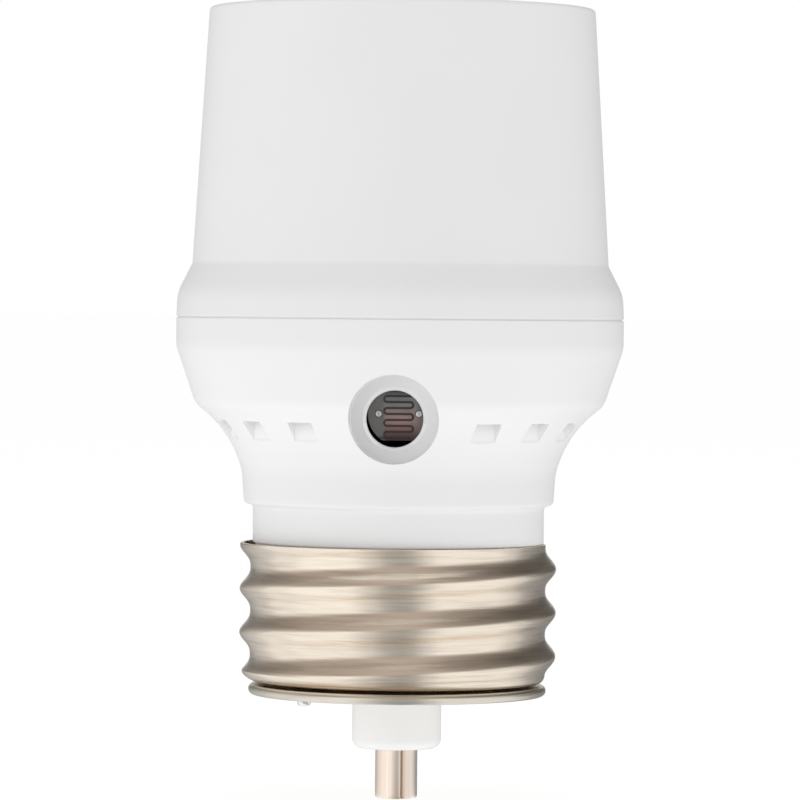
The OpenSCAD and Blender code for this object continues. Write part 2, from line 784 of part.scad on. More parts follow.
module socket_housing() {
    ledge_in_r = cup_r - cup_wall;
    color("#ececea")
    lathe([
        [lap_r, seam_z, 0],
        [bowl_r - seam_depth, seam_z, 0],
        [bowl_r - seam_depth, seam_z + seam_gap, 0],
        [bowl_r, seam_z + seam_gap, seam_round],
        [bowl_r - collar_draft, seam_z + collar_band_h, collar_round],
        [cup_r, cup_z, cup_corner],
        [rim_r, rim_z, rim_round],
        [mouth_r, rim_z, rim_round],
        [mouth_r, rim_z - lip_h, 0],
        [rim_r - cup_wall, rim_z - lip_h, 2 * edge_round],
        [ledge_in_r, socket_z + fit, 0],
        [pocket_r, socket_z + fit, 0],
        [pocket_r, carrier_z + fit, 0],
        [lap_r, carrier_z + fit, 0]
    ]);
}

module screw_shell() {
    color("#cdbb9d")
    threaded_shell(shell_z, shell_h, root_r, shell_sheet, shell_bend, shell_lip, 0, thread_sides);
}

module end_disc() {
    hole_r = stub_r + 2 * fit;
    bead_in_r = disc_r - disc_bead_w;
    plate_r = bead_in_r - disc_sheet;
    bead_round = disc_bead / 2;
    color("#b9b2a2")
    difference() {
        lathe([
            [hole_r, plate_z, 0],
            [plate_r, plate_z, edge_round],
            [bead_in_r, disc_z, edge_round],
            [disc_r, disc_z, bead_round],
            [disc_r, disc_z + disc_bead, bead_round],
            [bead_in_r, disc_z + disc_bead, edge_round],
            [plate_r, shell_z, edge_round],
            [hole_r, shell_z, 0]
        ]);
        translate([dab_dir[0] * neutral_r, dab_dir[1] * neutral_r, disc_z])
            cylinder(d = bare_d + 4 * fit, h = disc_bead + over);
    }
}

module solder_dab() {
    hole_r = bare_d / 2 + fit / 2;
    low_z = plate_z - dab_h;
    color("#dcdcd8")
    translate([dab_dir[0] * neutral_r, dab_dir[1] * neutral_r, 0])
        lathe([
            [0, low_z, 0],
            [dab_d / 2 - dab_draft, low_z, dab_round],
            [dab_d / 2, plate_z, 0],
            [hole_r, plate_z, 0],
            [hole_r, bare_z - fit, 0],
            [0, bare_z - fit, 0]
        ]);
}

module contact_pin() {
    top_z = core_z + core_floor + pin_tail;
    bore_r = pin_r - pin_wall;
    groove_out = pin_groove_w / 2 * (1 + over / pin_groove);
    color("#d9b894")
    difference() {
        lathe([
            [bore_r, 0, 0],
            [pin_r - pin_bevel, 0, 0],
            [pin_r, pin_bevel, 0],
            [pin_r, top_z - pin_bevel, 0],
            [pin_r - pin_bevel, top_z, 0],
            [bore_r, top_z, 0]
        ]);
        rotate([0, 0, pin_groove_turn])
            translate([0, -pin_r, -over])
                linear_extrude(top_z + 2 * over)
                    polygon([[0, pin_groove], [-groove_out, -over], [groove_out, -over]]);
    }
}

// Face of the photocell, with its two flats
module cell_face(d, height) {
    intersection() {
        circle(d = d);
        square([d + over, height], center = true);
    }
}

// Winding track: straight runs joined by round turns at alternate ends
module track_shape() {
    half = track_run / 2;
    top = (track_runs - 1) / 2 * track_pitch;
    lap = 0.01;
    for (i = [0:track_runs - 1])
        translate([0, top - i * track_pitch])
            square([track_run + lap, track_w], center = true);
    for (i = [0:track_runs - 2]) {
        side = i % 2 == 0 ? 1 : -1;
        translate([side * half, top - (i + 0.5) * track_pitch])
            intersection() {
                difference() {
                    circle(d = track_pitch + track_w);
                    circle(d = track_pitch - track_w);
                }
                translate([side * track_pitch, 0])
                    square([2 * track_pitch, 2 * track_pitch], center = true);
            }
    }
    // The first and last runs reach the edge of the face
    for (side = [-1, 1])
        translate([-half - cell_d / 4, side * top])
            square([cell_d / 2, track_w], center = true);
}

// Lays a flat shape on the face of the photocell
module on_cell(t) {
    translate([cell_shift, -cell_y, cell_z])
        rotate([90, 0, 0]) linear_extrude(t) children();
}

module photocell_body() {
    color("#8f8378")
    difference() {
        translate([cell_shift, -cell_back_y, cell_z])
            rotate([90, 0, 0]) linear_extrude(cell_t) cell_face(cell_d, cell_flat);
        for (x = cell_lead_x)
            translate([x, -cell_back_y + over, cell_z])
                rotate([90, 0, 0]) cylinder(d = cell_lead_d + 2 * fit, h = cell_t + 2 * over);
    }
}

module photocell_electrodes() {
    color("#a89a94")
    on_cell(film_t)
        difference() {
            cell_face(cell_d - 2 * film_edge, cell_flat - 2 * film_edge);
            track_shape();
            for (side = [-1, 1])
                translate([side * cell_lead_pitch / 2, 0]) circle(d = cell_lead_d + 2 * fit);
        }
}

module photocell_track() {
    color("#4a2a26")
    on_cell(track_t)
        intersection() {
            cell_face(cell_d - 2 * film_edge, cell_flat - 2 * film_edge);
            track_shape();
        }
}

module photocell_leads() {
    color("#d4d2ce")
    for (x = cell_lead_x)
        tube([
            [x, -cell_y - track_t, cell_z, cell_lead_d],
            [x, -cell_lead_y - leg_bend, cell_z, cell_lead_d],
            [x, -cell_lead_y - leg_bend / 4, cell_z + leg_bend / 4, cell_lead_d],
            [x, -cell_lead_y, cell_z + leg_bend, cell_lead_d],
            [x, -cell_lead_y, board_top + leg_end, cell_lead_d]
        ]);
}

module rivet_places() {
    for (side = [-1, 1])
        translate([side * rivet_circle_r, 0, 0]) children();
}

module socket_carrier() {
    color("#d8cfb8")
    difference() {
        union() {
            translate([0, 0, carrier_z]) cylinder(r = carrier_r, h = carrier_t);
            for (turn = rib_turns)
                rotate([0, 0, turn])
                    translate([0, -post_circle_r, board_top])
                        cylinder(d = post_d, h = carrier_z - board_top + carrier_t / 2);
        }
        rivet_places()
            translate([0, 0, carrier_z - over]) cylinder(d = rivet_d + 2 * fit, h = carrier_t + 2 * over);
        translate([0, tongue_rivet_y, carrier_z - over])
            cylinder(d = rivet_d + 2 * fit, h = carrier_t + 2 * over);
    }
}

module lamp_screw_shell() {
    color("#c9c4b6")
    difference() {
        threaded_shell(socket_z, socket_h, socket_root_r, socket_sheet, shell_bend, socket_flange,
                       thread_fade, socket_sides);
        rivet_places()
            translate([0, 0, socket_z - over])
                cylinder(d = rivet_d + 2 * fit, h = socket_sheet + 2 * over);
    }
}

module shell_rivets() {
    color("#c8c2b2")
    rivet_places() rivet(carrier_z, socket_z + socket_sheet);
}

module centre_contact() {
    back_y = tongue_rivet_y + rivet_head_d / 2 + tongue_margin;
    lift_y = tongue_rivet_y - rivet_head_d / 2 - tongue_margin;
    pad_y = tongue_tip - tongue_reach;
    pad_z = socket_z + tongue_rise;
    color("#c8a860")
    difference() {
        translate([-tongue_w / 2, 0, 0])
            rotate([90, 0, 90])
                linear_extrude(tongue_w)
                    polygon(strip(bent([
                        [-tongue_reach, pad_z - tongue_tip_drop],
                        [pad_y, pad_z],
                        [pad_y + tongue_pad, pad_z],
                        [lift_y, socket_z],
                        [back_y, socket_z]
                    ], tongue_bend), tongue_t));
        translate([0, tongue_rivet_y, socket_z - over])
            cylinder(d = rivet_d + 2 * fit, h = tongue_t + 2 * over);
    }
}

module contact_rivet() {
    color("#c8a860")
    translate([0, tongue_rivet_y, 0]) rivet(carrier_z, socket_z + tongue_t);
}

module circuit_board() {
    color("#9a7b45")
    difference() {
        translate([0, 0, board_z]) cylinder(r = board_r, h = board_t);
        for (side = [-1, 1])
            leg_hole(can_at + [side * can_leg_pitch / 2, 0]);
        for (k = [-1:1])
            leg_hole(thyristor_at + [0, k * thyristor_leg_pitch]);
        for (at = diode_at, side = [-1, 1])
            leg_hole(at + [0, side * diode_span / 2]);
        for (at = across_resistor_at, side = [-1, 1])
            leg_hole(at + [side * resistor_span / 2, 0]);
        for (side = [-1, 1])
            leg_hole(along_resistor_at + [0, side * resistor_span / 2]);
        for (x = cell_lead_x)
            leg_hole([x, -cell_lead_y], cell_lead_d);
        leg_hole(dab_dir * neutral_r, lead_d);
    }
}

module thyristor() {
    body_z = board_z - thyristor_drop - thyristor_size[2];
    color("#2a2a2c")
    union() {
        translate([thyristor_at[0], thyristor_at[1], body_z])
            linear_extrude(thyristor_size[2])
                intersection() {
                    circle(d = thyristor_size[1]);
                    translate([-thyristor_size[1] / 2, -thyristor_size[1]])
                        square([thyristor_size[0], 2 * thyristor_size[1]]);
                }
        for (k = [-1:1])
            translate([thyristor_at[0], thyristor_at[1] + k * thyristor_leg_pitch, body_z + over])
                cylinder(d = leg_d, h = board_top + leg_end - body_z - over);
    }
}

module rectifier_diodes() {
    color("#303034")
    for (at = diode_at)
        translate([at[0], at[1], board_z - axial_drop])
            rotate([0, 0, 90]) diode();
}

module resistors() {
    color("#c8b48c") {
        for (at = across_resistor_at)
            translate([at[0], at[1], board_z - axial_drop]) resistor();
        translate([along_resistor_at[0], along_resistor_at[1], board_z - axial_drop])
            rotate([0, 0, 90]) resistor();
    }
}

module capacitor() {
    top_z = board_z - can_gap;
    can_r = can_d / 2;
    groove_z = top_z - can_groove_drop;
    color("#3a4654")
    union() {
        translate([can_at[0], can_at[1], 0])
            lathe([
                [0, top_z - can_h, 0],
                [can_r, top_z - can_h, can_round],
                [can_r, groove_z - can_groove, can_round],
                [can_r - can_groove, groove_z, can_round],
                [can_r, groove_z + can_groove, can_round],
                [can_r, top_z, can_round],
                [0, top_z, 0]
            ]);
        for (side = [-1, 1])
            translate([can_at[0] + side * can_leg_pitch / 2, can_at[1], top_z - over])
                cylinder(d = leg_d, h = board_top + leg_end - top_z + over);
    }
}

module line_lead() {
    color("#26262a") tube(line_route);
}

module neutral_lead() {
    color("#e8e6e0") tube(neutral_route);
}

module switched_lead() {
    color("#a23028") tube(switched_route);
}

socket_housing();
base_housing();
screw_shell();
end_disc();
solder_dab();
contact_pin();
photocell_body();
photocell_electrodes();
photocell_track();
photocell_leads();
socket_carrier();
lamp_screw_shell();
shell_rivets();
centre_contact();
contact_rivet();
circuit_board();
thyristor();
rectifier_diodes();
resistors();
capacitor();
line_lead();
neutral_lead();
switched_lead();
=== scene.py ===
import math

import bmesh
import bpy
import numpy as np
from mathutils import Matrix, Vector, noise


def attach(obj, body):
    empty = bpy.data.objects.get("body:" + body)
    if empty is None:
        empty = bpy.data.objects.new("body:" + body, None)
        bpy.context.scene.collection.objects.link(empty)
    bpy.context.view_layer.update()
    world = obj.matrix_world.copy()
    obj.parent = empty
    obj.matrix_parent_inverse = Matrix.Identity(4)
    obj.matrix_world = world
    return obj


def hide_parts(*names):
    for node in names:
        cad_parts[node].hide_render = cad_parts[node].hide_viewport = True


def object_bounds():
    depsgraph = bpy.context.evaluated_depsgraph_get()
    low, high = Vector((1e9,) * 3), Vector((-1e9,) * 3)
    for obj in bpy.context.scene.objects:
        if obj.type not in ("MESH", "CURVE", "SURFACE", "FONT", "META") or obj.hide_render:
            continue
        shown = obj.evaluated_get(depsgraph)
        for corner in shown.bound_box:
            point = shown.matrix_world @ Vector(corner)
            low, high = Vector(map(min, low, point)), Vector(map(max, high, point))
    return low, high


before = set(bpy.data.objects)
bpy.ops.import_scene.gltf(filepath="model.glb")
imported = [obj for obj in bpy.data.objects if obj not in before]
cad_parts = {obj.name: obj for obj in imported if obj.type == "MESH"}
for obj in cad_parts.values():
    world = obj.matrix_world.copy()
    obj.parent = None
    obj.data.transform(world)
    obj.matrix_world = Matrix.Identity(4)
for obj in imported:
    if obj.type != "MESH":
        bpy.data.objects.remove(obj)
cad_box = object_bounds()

# Sizes in millimetres, as in the CAD model: levels along the screw axis
MM = 0.001
STUB_Z = 4.15
DISC_Z = 8.6
SHELL_Z = 9.6
NECK_Z = 21.2
SKIRT_Z = 24.4
COVE_Z = 27.3
FOOT_Z = 32.7
BAND_Z = 37.45
SEAM_Z = 39.8
CARRIER_Z = 40.8
SOCKET_Z = 42.5
CUP_Z = 44.3
RIM_Z = 65.55
BOARD_Z = 37.05
BOARD_TOP = 38.65

# Radii and walls of the two housings
FIT = 0.05
EDGE = 0.15
STUB_R = 3.7
CORE_R = 11.82
CORE_IN_R = 10.42
CORE_Z = 9.95
CORE_FLOOR = 1.6
CORE_ROUND = 0.45
NECK_R = 12.1
SKIRT_R = 12.85
SKIRT_TOP_R = 13.05
SKIRT_ROUND = 0.4
NECK_ROUND = 0.36
COVE_R = 10.2
FOOT_R = 16.97
BOWL_R = 18.58
BOWL_ROUND = 3.0
BOWL_WALL = 1.9
SEAM_GAP = 0.12
SEAM_DEPTH = 0.12
SEAM_ROUND = 0.06
LAP_R = 17.63
SPIGOT_R = 17.58
SPIGOT_IN_R = 16.28
HOLLOW_Z = 36.05
POCKET_R = 17.03
COLLAR_BAND_H = 2.1
COLLAR_DRAFT = 0.08
COLLAR_ROUND = 3.5
CUP_R = 17.28
CUP_CORNER = 0.8
CUP_WALL = 1.6
RIM_R = 16.0
RIM_ROUND = 0.3
MOUTH_R = 14.05
LIP_H = 1.6

# Blends of the lower housing, as the photograph shows them, and what they take off the ends of its cove
STUB_ROUND = 0.8
SKIRT_TOP_ROUND = 6.0
FOOT_ROUND = 2.0
COVE_START = 1.5
COVE_STOP = 0.9

# Vents under the corner of the bowl, and the ribs under the board, placed in steps of the vents' pitch
VENT_Z = 31.4
VENT_W = 2.3
VENT_DEPTH = 1.25
VENT_H = 1.8
SLOT_W = 0.8
SLOT_OVER = 0.5
VENT_FIRST = 30.0
VENT_PITCH = 20.0
VENTS_A_SIDE = 8
RIB_R = 13.58
RIB_W = 1.2
RIB_STEPS = (0.5, 4.5)

# Sensor port, whose axis points to -Y
PORT_Z = 31.75
PORT_R = 3.65
PORT_HOLE_R = 2.3
PORT_SINK = 0.5
PORT_DISH = 0.7
PORT_LIP = 0.3
PORT_LIP_ROUND = 0.25
PORT_RING_DEPTH = 10.0
PORT_RING_IN = 0.68
BOSS_R = 4.85
CELL_X = 0.3
CELL_Z = 32.15
CELL_T = 2.1
CELL_POCKET_R = 3.1
TRACK_T = 0.06
LEAD_PITCH = 3.25
LEAD_D = 0.5
LEAD_OUT = 1.2
LEG_BEND = 0.5
LEG_END = 0.6

# Threaded shells, rolled from sheet
PITCH = 3.629
THREAD_DEPTH = 0.88
THREAD_TURN = math.radians(262)
THREAD_CREST = 1.4
THREAD_FADE = 1.0
SHEET = 0.35
SHEET_CHAMFER = 0.3
SHELL_BEND = 0.7
SHELL_ROOT_R = 12.27
SHELL_LIP = 1.9
SOCKET_ROOT_R = 12.82
SOCKET_H = 18.5
SOCKET_LIP = 5.0

# End disc, solder dab and contact pin
DISC_R = 12.37
DISC_BEAD = 0.85
DISC_BEAD_W = 0.95
DAB_TURN = math.radians(49)
DAB_R = 9.82
DAB_D = 1.4
DAB_H = 1.2
DAB_TAPER = 0.12
DAB_ROUND = 0.5
DAB_FOOT = 0.1
DAB_LUMPS = 1.6
DAB_RELIEF = 0.1
DAB_SWELL = 2
DAB_FADE = 0.3
BARE_D = 0.5
PIN_R = 1.75
PIN_WALL = 0.45
PIN_GROOVE_W = 0.4
PIN_GROOVE = 0.25
PIN_GROOVE_FORM = 1.5
PIN_GROOVE_TURN = math.radians(18)
PIN_BEVEL = 0.2
PIN_TOP = 13.15

# Contacts of the lamp socket
RIVET_CIRCLE_R = 10.3
RIVET_D = 1.8
RIVET_HEAD_D = 2.8
RIVET_HEAD_H = 0.5
RIVET_EDGE_H = 0.17
TONGUE_W = 5.0
TONGUE_T = 0.4
TONGUE_RISE = 3.0
TONGUE_RIVET_Y = 4.5
TONGUE_MARGIN = 0.6
TONGUE_REACH = 4.2
TONGUE_PAD = 2.2
TONGUE_TIP = 1.2
TONGUE_TIP_DROP = 0.8
TONGUE_BEND = 1.2

# Fineness of the meshes
SIDES = 288
ROD_SIDES = 48
WIRE_HOLE_SIDES = 24
WIRE_SIDES = 20
BEAD_SIDES = 32
SMALL_SIDES = 64
SHELL_SIDES = 240
SHELL_ROW = 0.11
SOCKET_SIDES = 180
SOCKET_ROW = 0.16
BEND_STEPS = 10
COVE_STEPS = 48
HOLLOW_STEPS = 24
GROOVE_STEPS = 12
PIN_STEPS = 84
PIN_BEVEL_STEPS = 5
LEG_STEPS = 8
ARC_LENGTH = 0.12
MIN_ARC_STEPS = 4
SUPPORT = 0.15
CORNER_SHARE = 0.48
SHARP_ANGLE = math.radians(32)
TINY = 1e-6

# How far a cut reaches past what it cuts, and a direction that no wire follows
OVER = 1.0
ASIDE = Vector((0.83, 0.41, 0.38))


# Outlines and meshes, in millimetres until a piece is finished
def heading(v):
    """Angle of a flat direction."""
    return math.atan2(v[1], v[0])


def rounded_corner(before, at, after):
    """Points of one rounded corner [x, y, rounding] of an outline."""
    p = np.array(at[:2])
    a = np.array(before[:2]) - p
    b = np.array(after[:2]) - p
    length_a = np.linalg.norm(a)
    length_b = np.linalg.norm(b)
    a = a / length_a
    b = b / length_b
    half = math.acos(float(np.clip(a @ b, -1, 1))) / 2
    reach = min(at[2] / math.tan(half), CORNER_SHARE * length_a, CORNER_SHARE * length_b)
    radius = reach * math.tan(half)
    middle = a + b
    centre = p + middle / np.linalg.norm(middle) * radius / math.sin(half)
    first = heading(p + a * reach - centre)
    turn = (heading(p + b * reach - centre) - first + math.pi) % (2 * math.pi) - math.pi
    steps = max(MIN_ARC_STEPS, math.ceil(abs(turn) * radius / ARC_LENGTH))
    angles = [first + turn * i / steps for i in range(steps + 1)]
    return [centre + radius * np.array([math.cos(t), math.sin(t)]) for t in angles]


def outline(corners):
    """Closed outline through the corners, each rounded as it says."""
    points = []
    for i, at in enumerate(corners):
        if at[2] > 0:
            points += rounded_corner(corners[i - 1], at, corners[(i + 1) % len(corners)])
        else:
            points.append(np.array(at[:2], float))
    return points


def supported(points):
    """The outline with points near the ends of its long straight runs, so that it shades evenly."""
    full = []
    for p, q in zip(points, points[1:] + points[:1]):
        full.append(p)
        length = np.linalg.norm(q - p)
        if length > 4 * SUPPORT:
            step = (q - p) * SUPPORT / length
            full += [p + step, q - step]
    return full


def make_object(name, points, faces):
    """New object from points and faces, in the scene."""
    mesh = bpy.data.meshes.new(name)
    mesh.from_pydata([tuple(p) for p in points], [], faces)
    obj = bpy.data.objects.new(name, mesh)
    bpy.context.scene.collection.objects.link(obj)
    return obj


def weld(obj):
    """Drops points that no face uses and turns every face outwards."""
    shape = bmesh.new()
    shape.from_mesh(obj.data)
    bmesh.ops.delete(shape, geom=[v for v in shape.verts if not v.link_faces], context="VERTS")
    bmesh.ops.recalc_face_normals(shape, faces=shape.faces)
    shape.to_mesh(obj.data)
    shape.free()
    return obj


def ring_faces(rings, size, closed):
    """Quads between neighbouring rings of points, from the last ring to the first too if it is closed."""
    faces = []
    for k in range(rings if closed else rings - 1):
        for i in range(size):
            j = (i + 1) % size
            n = (k + 1) % rings
            faces.append((k * size + i, n * size + i, n * size + j, k * size + j))
    return faces


def capped_faces(rings, size):
    """Quads between neighbouring rings of points, with the first and the last ring filled."""
    last = (rings - 1) * size
    caps = [tuple(range(size)), tuple(range(last + size - 1, last - 1, -1))]
    return ring_faces(rings, size, False) + caps


def lathe(name, corners, sides=SIDES):
    """Solid of revolution about Z from a closed outline of [radius, height, rounding] corners."""
    profile = supported(outline(corners))
    points = []
    columns = []
    for r, z in profile:
        count = 1 if r < TINY else sides
        columns.append([len(points) + k % count for k in range(sides)])
        turns = [2 * math.pi * k / sides for k in range(count)]
        points += [(r * math.cos(t), r * math.sin(t), z) for t in turns]
    faces = []
    for low, high in zip(columns, columns[1:] + columns[:1]):
        for k in range(sides):
            n = (k + 1) % sides
            corner = list(dict.fromkeys((low[k], low[n], high[n], high[k])))
            if len(corner) > 2:
                faces.append(corner)
    return weld(make_object(name, points, faces))


def moved(obj, matrix):
    """The object with its points moved."""
    obj.data.transform(matrix)
    return obj


def port_lathe(name, corners, sides=SIDES // 2):
    """Solid of revolution about the sensor port's axis: corners are [radius, distance from Z, rounding]."""
    turn = Matrix.Rotation(math.pi / 2, 4, "X")
    return moved(lathe(name, corners, sides), Matrix.Translation((0, 0, PORT_Z)) @ turn)


def prism(name, corners, width):
    """Upright plate of an outline [radius, height, rounding] that points to -Y, centred on it."""
    profile = outline(corners)
    size = len(profile)
    points = [(x, -r, z) for x in (-width / 2, width / 2) for r, z in profile]
    return weld(make_object(name, points, capped_faces(2, size)))


def turned(obj, degrees):
    """The object turned about the screw axis."""
    return moved(obj, Matrix.Rotation(math.radians(degrees), 4, "Z"))


def rod(name, radius, z0, z1, at=(0, 0), sides=ROD_SIDES):
    """Plain upright rod, used to cut holes."""
    corners = [[0, z0, 0], [radius, z0, 0], [radius, z1, 0], [0, z1, 0]]
    return moved(lathe(name, corners, sides), Matrix.Translation((at[0], at[1], 0)))


def combine(obj, other, operation):
    """Adds, cuts or meets obj with another solid, which is used up."""
    modifier = obj.modifiers.new("combine", "BOOLEAN")
    modifier.object = other
    modifier.operation = operation
    modifier.solver = "MANIFOLD"
    graph = bpy.context.evaluated_depsgraph_get()
    mesh = bpy.data.meshes.new_from_object(obj.evaluated_get(graph))
    obj.modifiers.clear()
    old = obj.data
    obj.data = mesh
    bpy.data.meshes.remove(old)
    bpy.data.meshes.remove(other.data)
    return obj


def joined(obj, *others):
    """One object with the meshes of several."""
    shape = bmesh.new()
    for part in (obj, *others):
        shape.from_mesh(part.data)
    shape.to_mesh(obj.data)
    shape.free()
    for part in others:
        bpy.data.meshes.remove(part.data)
    return obj


def smooth(obj):
    """Smooth shading, apart from edges that turn by more than the sharp angle."""
    shape = bmesh.new()
    shape.from_mesh(obj.data)
    for face in shape.faces:
        face.smooth = True
    for edge in shape.edges:
        edge.smooth = edge.calc_face_angle(0) < SHARP_ANGLE
    shape.to_mesh(obj.data)
    shape.free()


def finished(obj, slot, finish, *nodes):
    """Brings a piece to metres and puts it in the place of its CAD nodes."""
    obj.data.transform(Matrix.Scale(MM, 4))
    smooth(obj)
    obj.data.materials.clear()
    obj.data.materials.append(finish.material)
    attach(obj, "root")
    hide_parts(*nodes)


# Materials: greys for masks, the span that most noise keeps to, and the soft edges of a painted ring
BLACK = (0.0, 0.0, 0.0)
WHITE = (1.0, 1.0, 1.0)
NOISE_LOW = 0.3
NOISE_HIGH = 0.7
RING_EDGE_OUT = 0.04
RING_EDGE_IN = 0.05

# Share of a turn at which a radial gradient has the front
FRONT = 0.25

# Stretch of noise into lines round the screw axis, along it, and across the board
FINE_ROUND = (0.02, 0.02, 1.0)
ROUND = (0.05, 0.05, 1.0)
ALONG = (1.0, 1.0, 0.03)
FIBRES = (1.0, 0.25, 1.0)

# Face of the photocell about its middle, and where its sides take over from its middle
FACE_BELOW = 2.7
FACE_ABOVE = 1.9
FACE_HALF_W = 2.5
FACE_SIDES = (
    (0.0, WHITE), (0.24, WHITE), (0.29, BLACK), (0.76, BLACK), (0.86, (0.7, 0.7, 0.7)), (1.0, WHITE),
)

# Masks along Z for the painted light that makes the stub and the vents paler, as shares of their heights, and
# along X for the port's two tones of painted shade
STUB_PAINTED_LIGHT_MASK = ((0.0, BLACK), (0.15, WHITE), (0.95, WHITE), (1.0, BLACK))
VENT_PAINTED_LIGHT_MASK = ((0.0, BLACK), (0.1, WHITE), (0.99, WHITE), (1.0, BLACK))
PORT_SHADE_LEFT = 0.15
PORT_SHADE_RIGHT = 0.85


def tint(colour, share):
    """The colour made darker to a share of itself."""
    return tuple(c * share for c in colour)


def set_stops(node, stops):
    """Gives a colour ramp its stops of (share, colour)."""
    elements = node.color_ramp.elements
    while len(elements) < len(stops):
        elements.new(0.5)
    for element, (share, colour) in zip(elements, stops):
        element.position = share
        element.color = (*colour, 1)


def mixed(tree, factor, first, second):
    """Goes from the first to the second, each a grey, a colour or a socket, as the factor goes from 0 to 1."""
    node = tree.nodes.new("ShaderNodeMix")
    node.data_type = "RGBA"
    tree.links.new(factor, node.inputs["Factor"])
    sockets = [s for s in node.inputs if s.type == "RGBA"]
    for socket, value in zip(sockets, (first, second)):
        if isinstance(value, float):
            socket.default_value = (value, value, value, 1)
        elif isinstance(value, tuple):
            socket.default_value = (*value, 1)
        else:
            tree.links.new(value, socket)
    return [s for s in node.outputs if s.type == "RGBA"][0]


class Finish:
    """A Principled shader and the nodes that give it its grain; sockets set what is the same all over."""

    def __init__(self, name, **sockets):
        self.material = bpy.data.materials.new(name)
        self.material.use_nodes = True
        self.tree = self.material.node_tree
        self.shader = self.tree.nodes["Principled BSDF"]
        for socket, value in sockets.items():
            self.shader.inputs[socket.replace("_", " ")].default_value = value
        self.place = self.tree.nodes.new("ShaderNodeTexCoord").outputs["Object"]

    def link(self, output, node, socket):
        self.tree.links.new(output, node.inputs[socket])

    def stretched(self, scale):
        """Places with each axis scaled."""
        node = self.tree.nodes.new("ShaderNodeMapping")
        node.inputs["Scale"].default_value = scale
        self.link(self.place, node, "Vector")
        return node.outputs["Vector"]

    def noise(self, size, detail, stretch=None):
        """Noise whose blotches are about size millimetres wide."""
        node = self.tree.nodes.new("ShaderNodeTexNoise")
        node.inputs["Scale"].default_value = 1 / (size * MM)
        node.inputs["Detail"].default_value = detail
        self.link(self.stretched(stretch) if stretch else self.place, node, "Vector")
        return node.outputs["Fac"]

    def between(self, value, low, high):
        """A noise value spread from low to high."""
        node = self.tree.nodes.new("ShaderNodeMapRange")
        node.inputs["From Min"].default_value = NOISE_LOW
        node.inputs["From Max"].default_value = NOISE_HIGH
        node.inputs["To Min"].default_value = low
        node.inputs["To Max"].default_value = high
        self.link(value, node, "Value")
        return node.outputs["Result"]

    def blend(self, factor, first, second):
        return mixed(self.tree, factor, first, second)

    def ramp(self, axis, low, high, stops):
        """Colour along an axis, from low to high millimetres, through stops of (share, colour)."""
        split = self.tree.nodes.new("ShaderNodeSeparateXYZ")
        self.link(self.place, split, "Vector")
        spread = self.tree.nodes.new("ShaderNodeMapRange")
        spread.inputs["From Min"].default_value = low * MM
        spread.inputs["From Max"].default_value = high * MM
        self.link(split.outputs[axis], spread, "Value")
        node = self.tree.nodes.new("ShaderNodeValToRGB")
        set_stops(node, stops)
        self.link(spread.outputs["Result"], node, "Fac")
        return node.outputs["Color"]

    def annulus(self, centre, radius, inner, depth):
        """1 on a ring about an axis along Y, from its inner share to its radius, and 0 elsewhere."""
        sizes = (radius, depth, radius)
        node = self.tree.nodes.new("ShaderNodeMapping")
        node.inputs["Scale"].default_value = [1 / (size * MM) for size in sizes]
        node.inputs["Location"].default_value = [-at / size for at, size in zip(centre, sizes)]
        self.link(self.place, node, "Vector")
        ball = self.tree.nodes.new("ShaderNodeTexGradient")
        ball.gradient_type = "SPHERICAL"
        self.link(node.outputs["Vector"], ball, "Vector")
        ring = self.tree.nodes.new("ShaderNodeValToRGB")
        stop = 1.0 - inner
        set_stops(ring, [(0.0, BLACK), (RING_EDGE_OUT, WHITE), (stop - RING_EDGE_IN, WHITE), (stop, BLACK)])
        self.link(ball.outputs["Fac"], ring, "Fac")
        return ring.outputs["Color"]

    def behind(self, centre, radius, depth):
        """0 on a hollow curve of round section about the screw axis, and 1 where a surface lies behind it."""
        flat = self.tree.nodes.new("ShaderNodeVectorMath")
        flat.operation = "LENGTH"
        self.link(self.stretched((1, 1, 0)), flat, 0)
        split = self.tree.nodes.new("ShaderNodeSeparateXYZ")
        self.link(self.place, split, "Vector")
        section = self.tree.nodes.new("ShaderNodeCombineXYZ")
        self.link(flat.outputs["Value"], section, "X")
        self.link(split.outputs["Z"], section, "Y")
        away = self.tree.nodes.new("ShaderNodeVectorMath")
        away.operation = "DISTANCE"
        self.link(section.outputs["Vector"], away, 0)
        away.inputs[1].default_value = (centre[0] * MM, centre[1] * MM, 0)
        spread = self.tree.nodes.new("ShaderNodeMapRange")
        spread.inputs["From Min"].default_value = radius * MM
        spread.inputs["From Max"].default_value = (radius + depth) * MM
        self.link(away.outputs["Value"], spread, "Value")
        return spread.outputs["Result"]

    def colour(self, output):
        self.link(output, self.shader, "Base Color")

    def roughness(self, output):
        self.link(output, self.shader, "Roughness")

    def bump(self, height, strength, depth):
        """Relief of depth millimetres, laid over any relief that is there."""
        node = self.tree.nodes.new("ShaderNodeBump")
        node.inputs["Strength"].default_value = strength
        node.inputs["Distance"].default_value = depth * MM
        self.link(height, node, "Height")
        before = self.shader.inputs["Normal"].links
        if before:
            self.link(before[0].from_socket, node, "Normal")
        self.link(node.outputs["Normal"], self.shader, "Normal")


def round_axis(tree, place, stops):
    """Colour by direction round the screw axis: stops are (degrees to the right of the front, colour)."""
    angle = tree.nodes.new("ShaderNodeTexGradient")
    angle.gradient_type = "RADIAL"
    tree.links.new(place, angle.inputs["Vector"])
    ramp = tree.nodes.new("ShaderNodeValToRGB")
    ramp.color_ramp.interpolation = "EASE"
    set_stops(ramp, sorted(((FRONT + degrees / 360) % 1, colour) for degrees, colour in stops))
    tree.links.new(angle.outputs["Fac"], ramp.inputs["Fac"])
    return ramp.outputs["Color"]


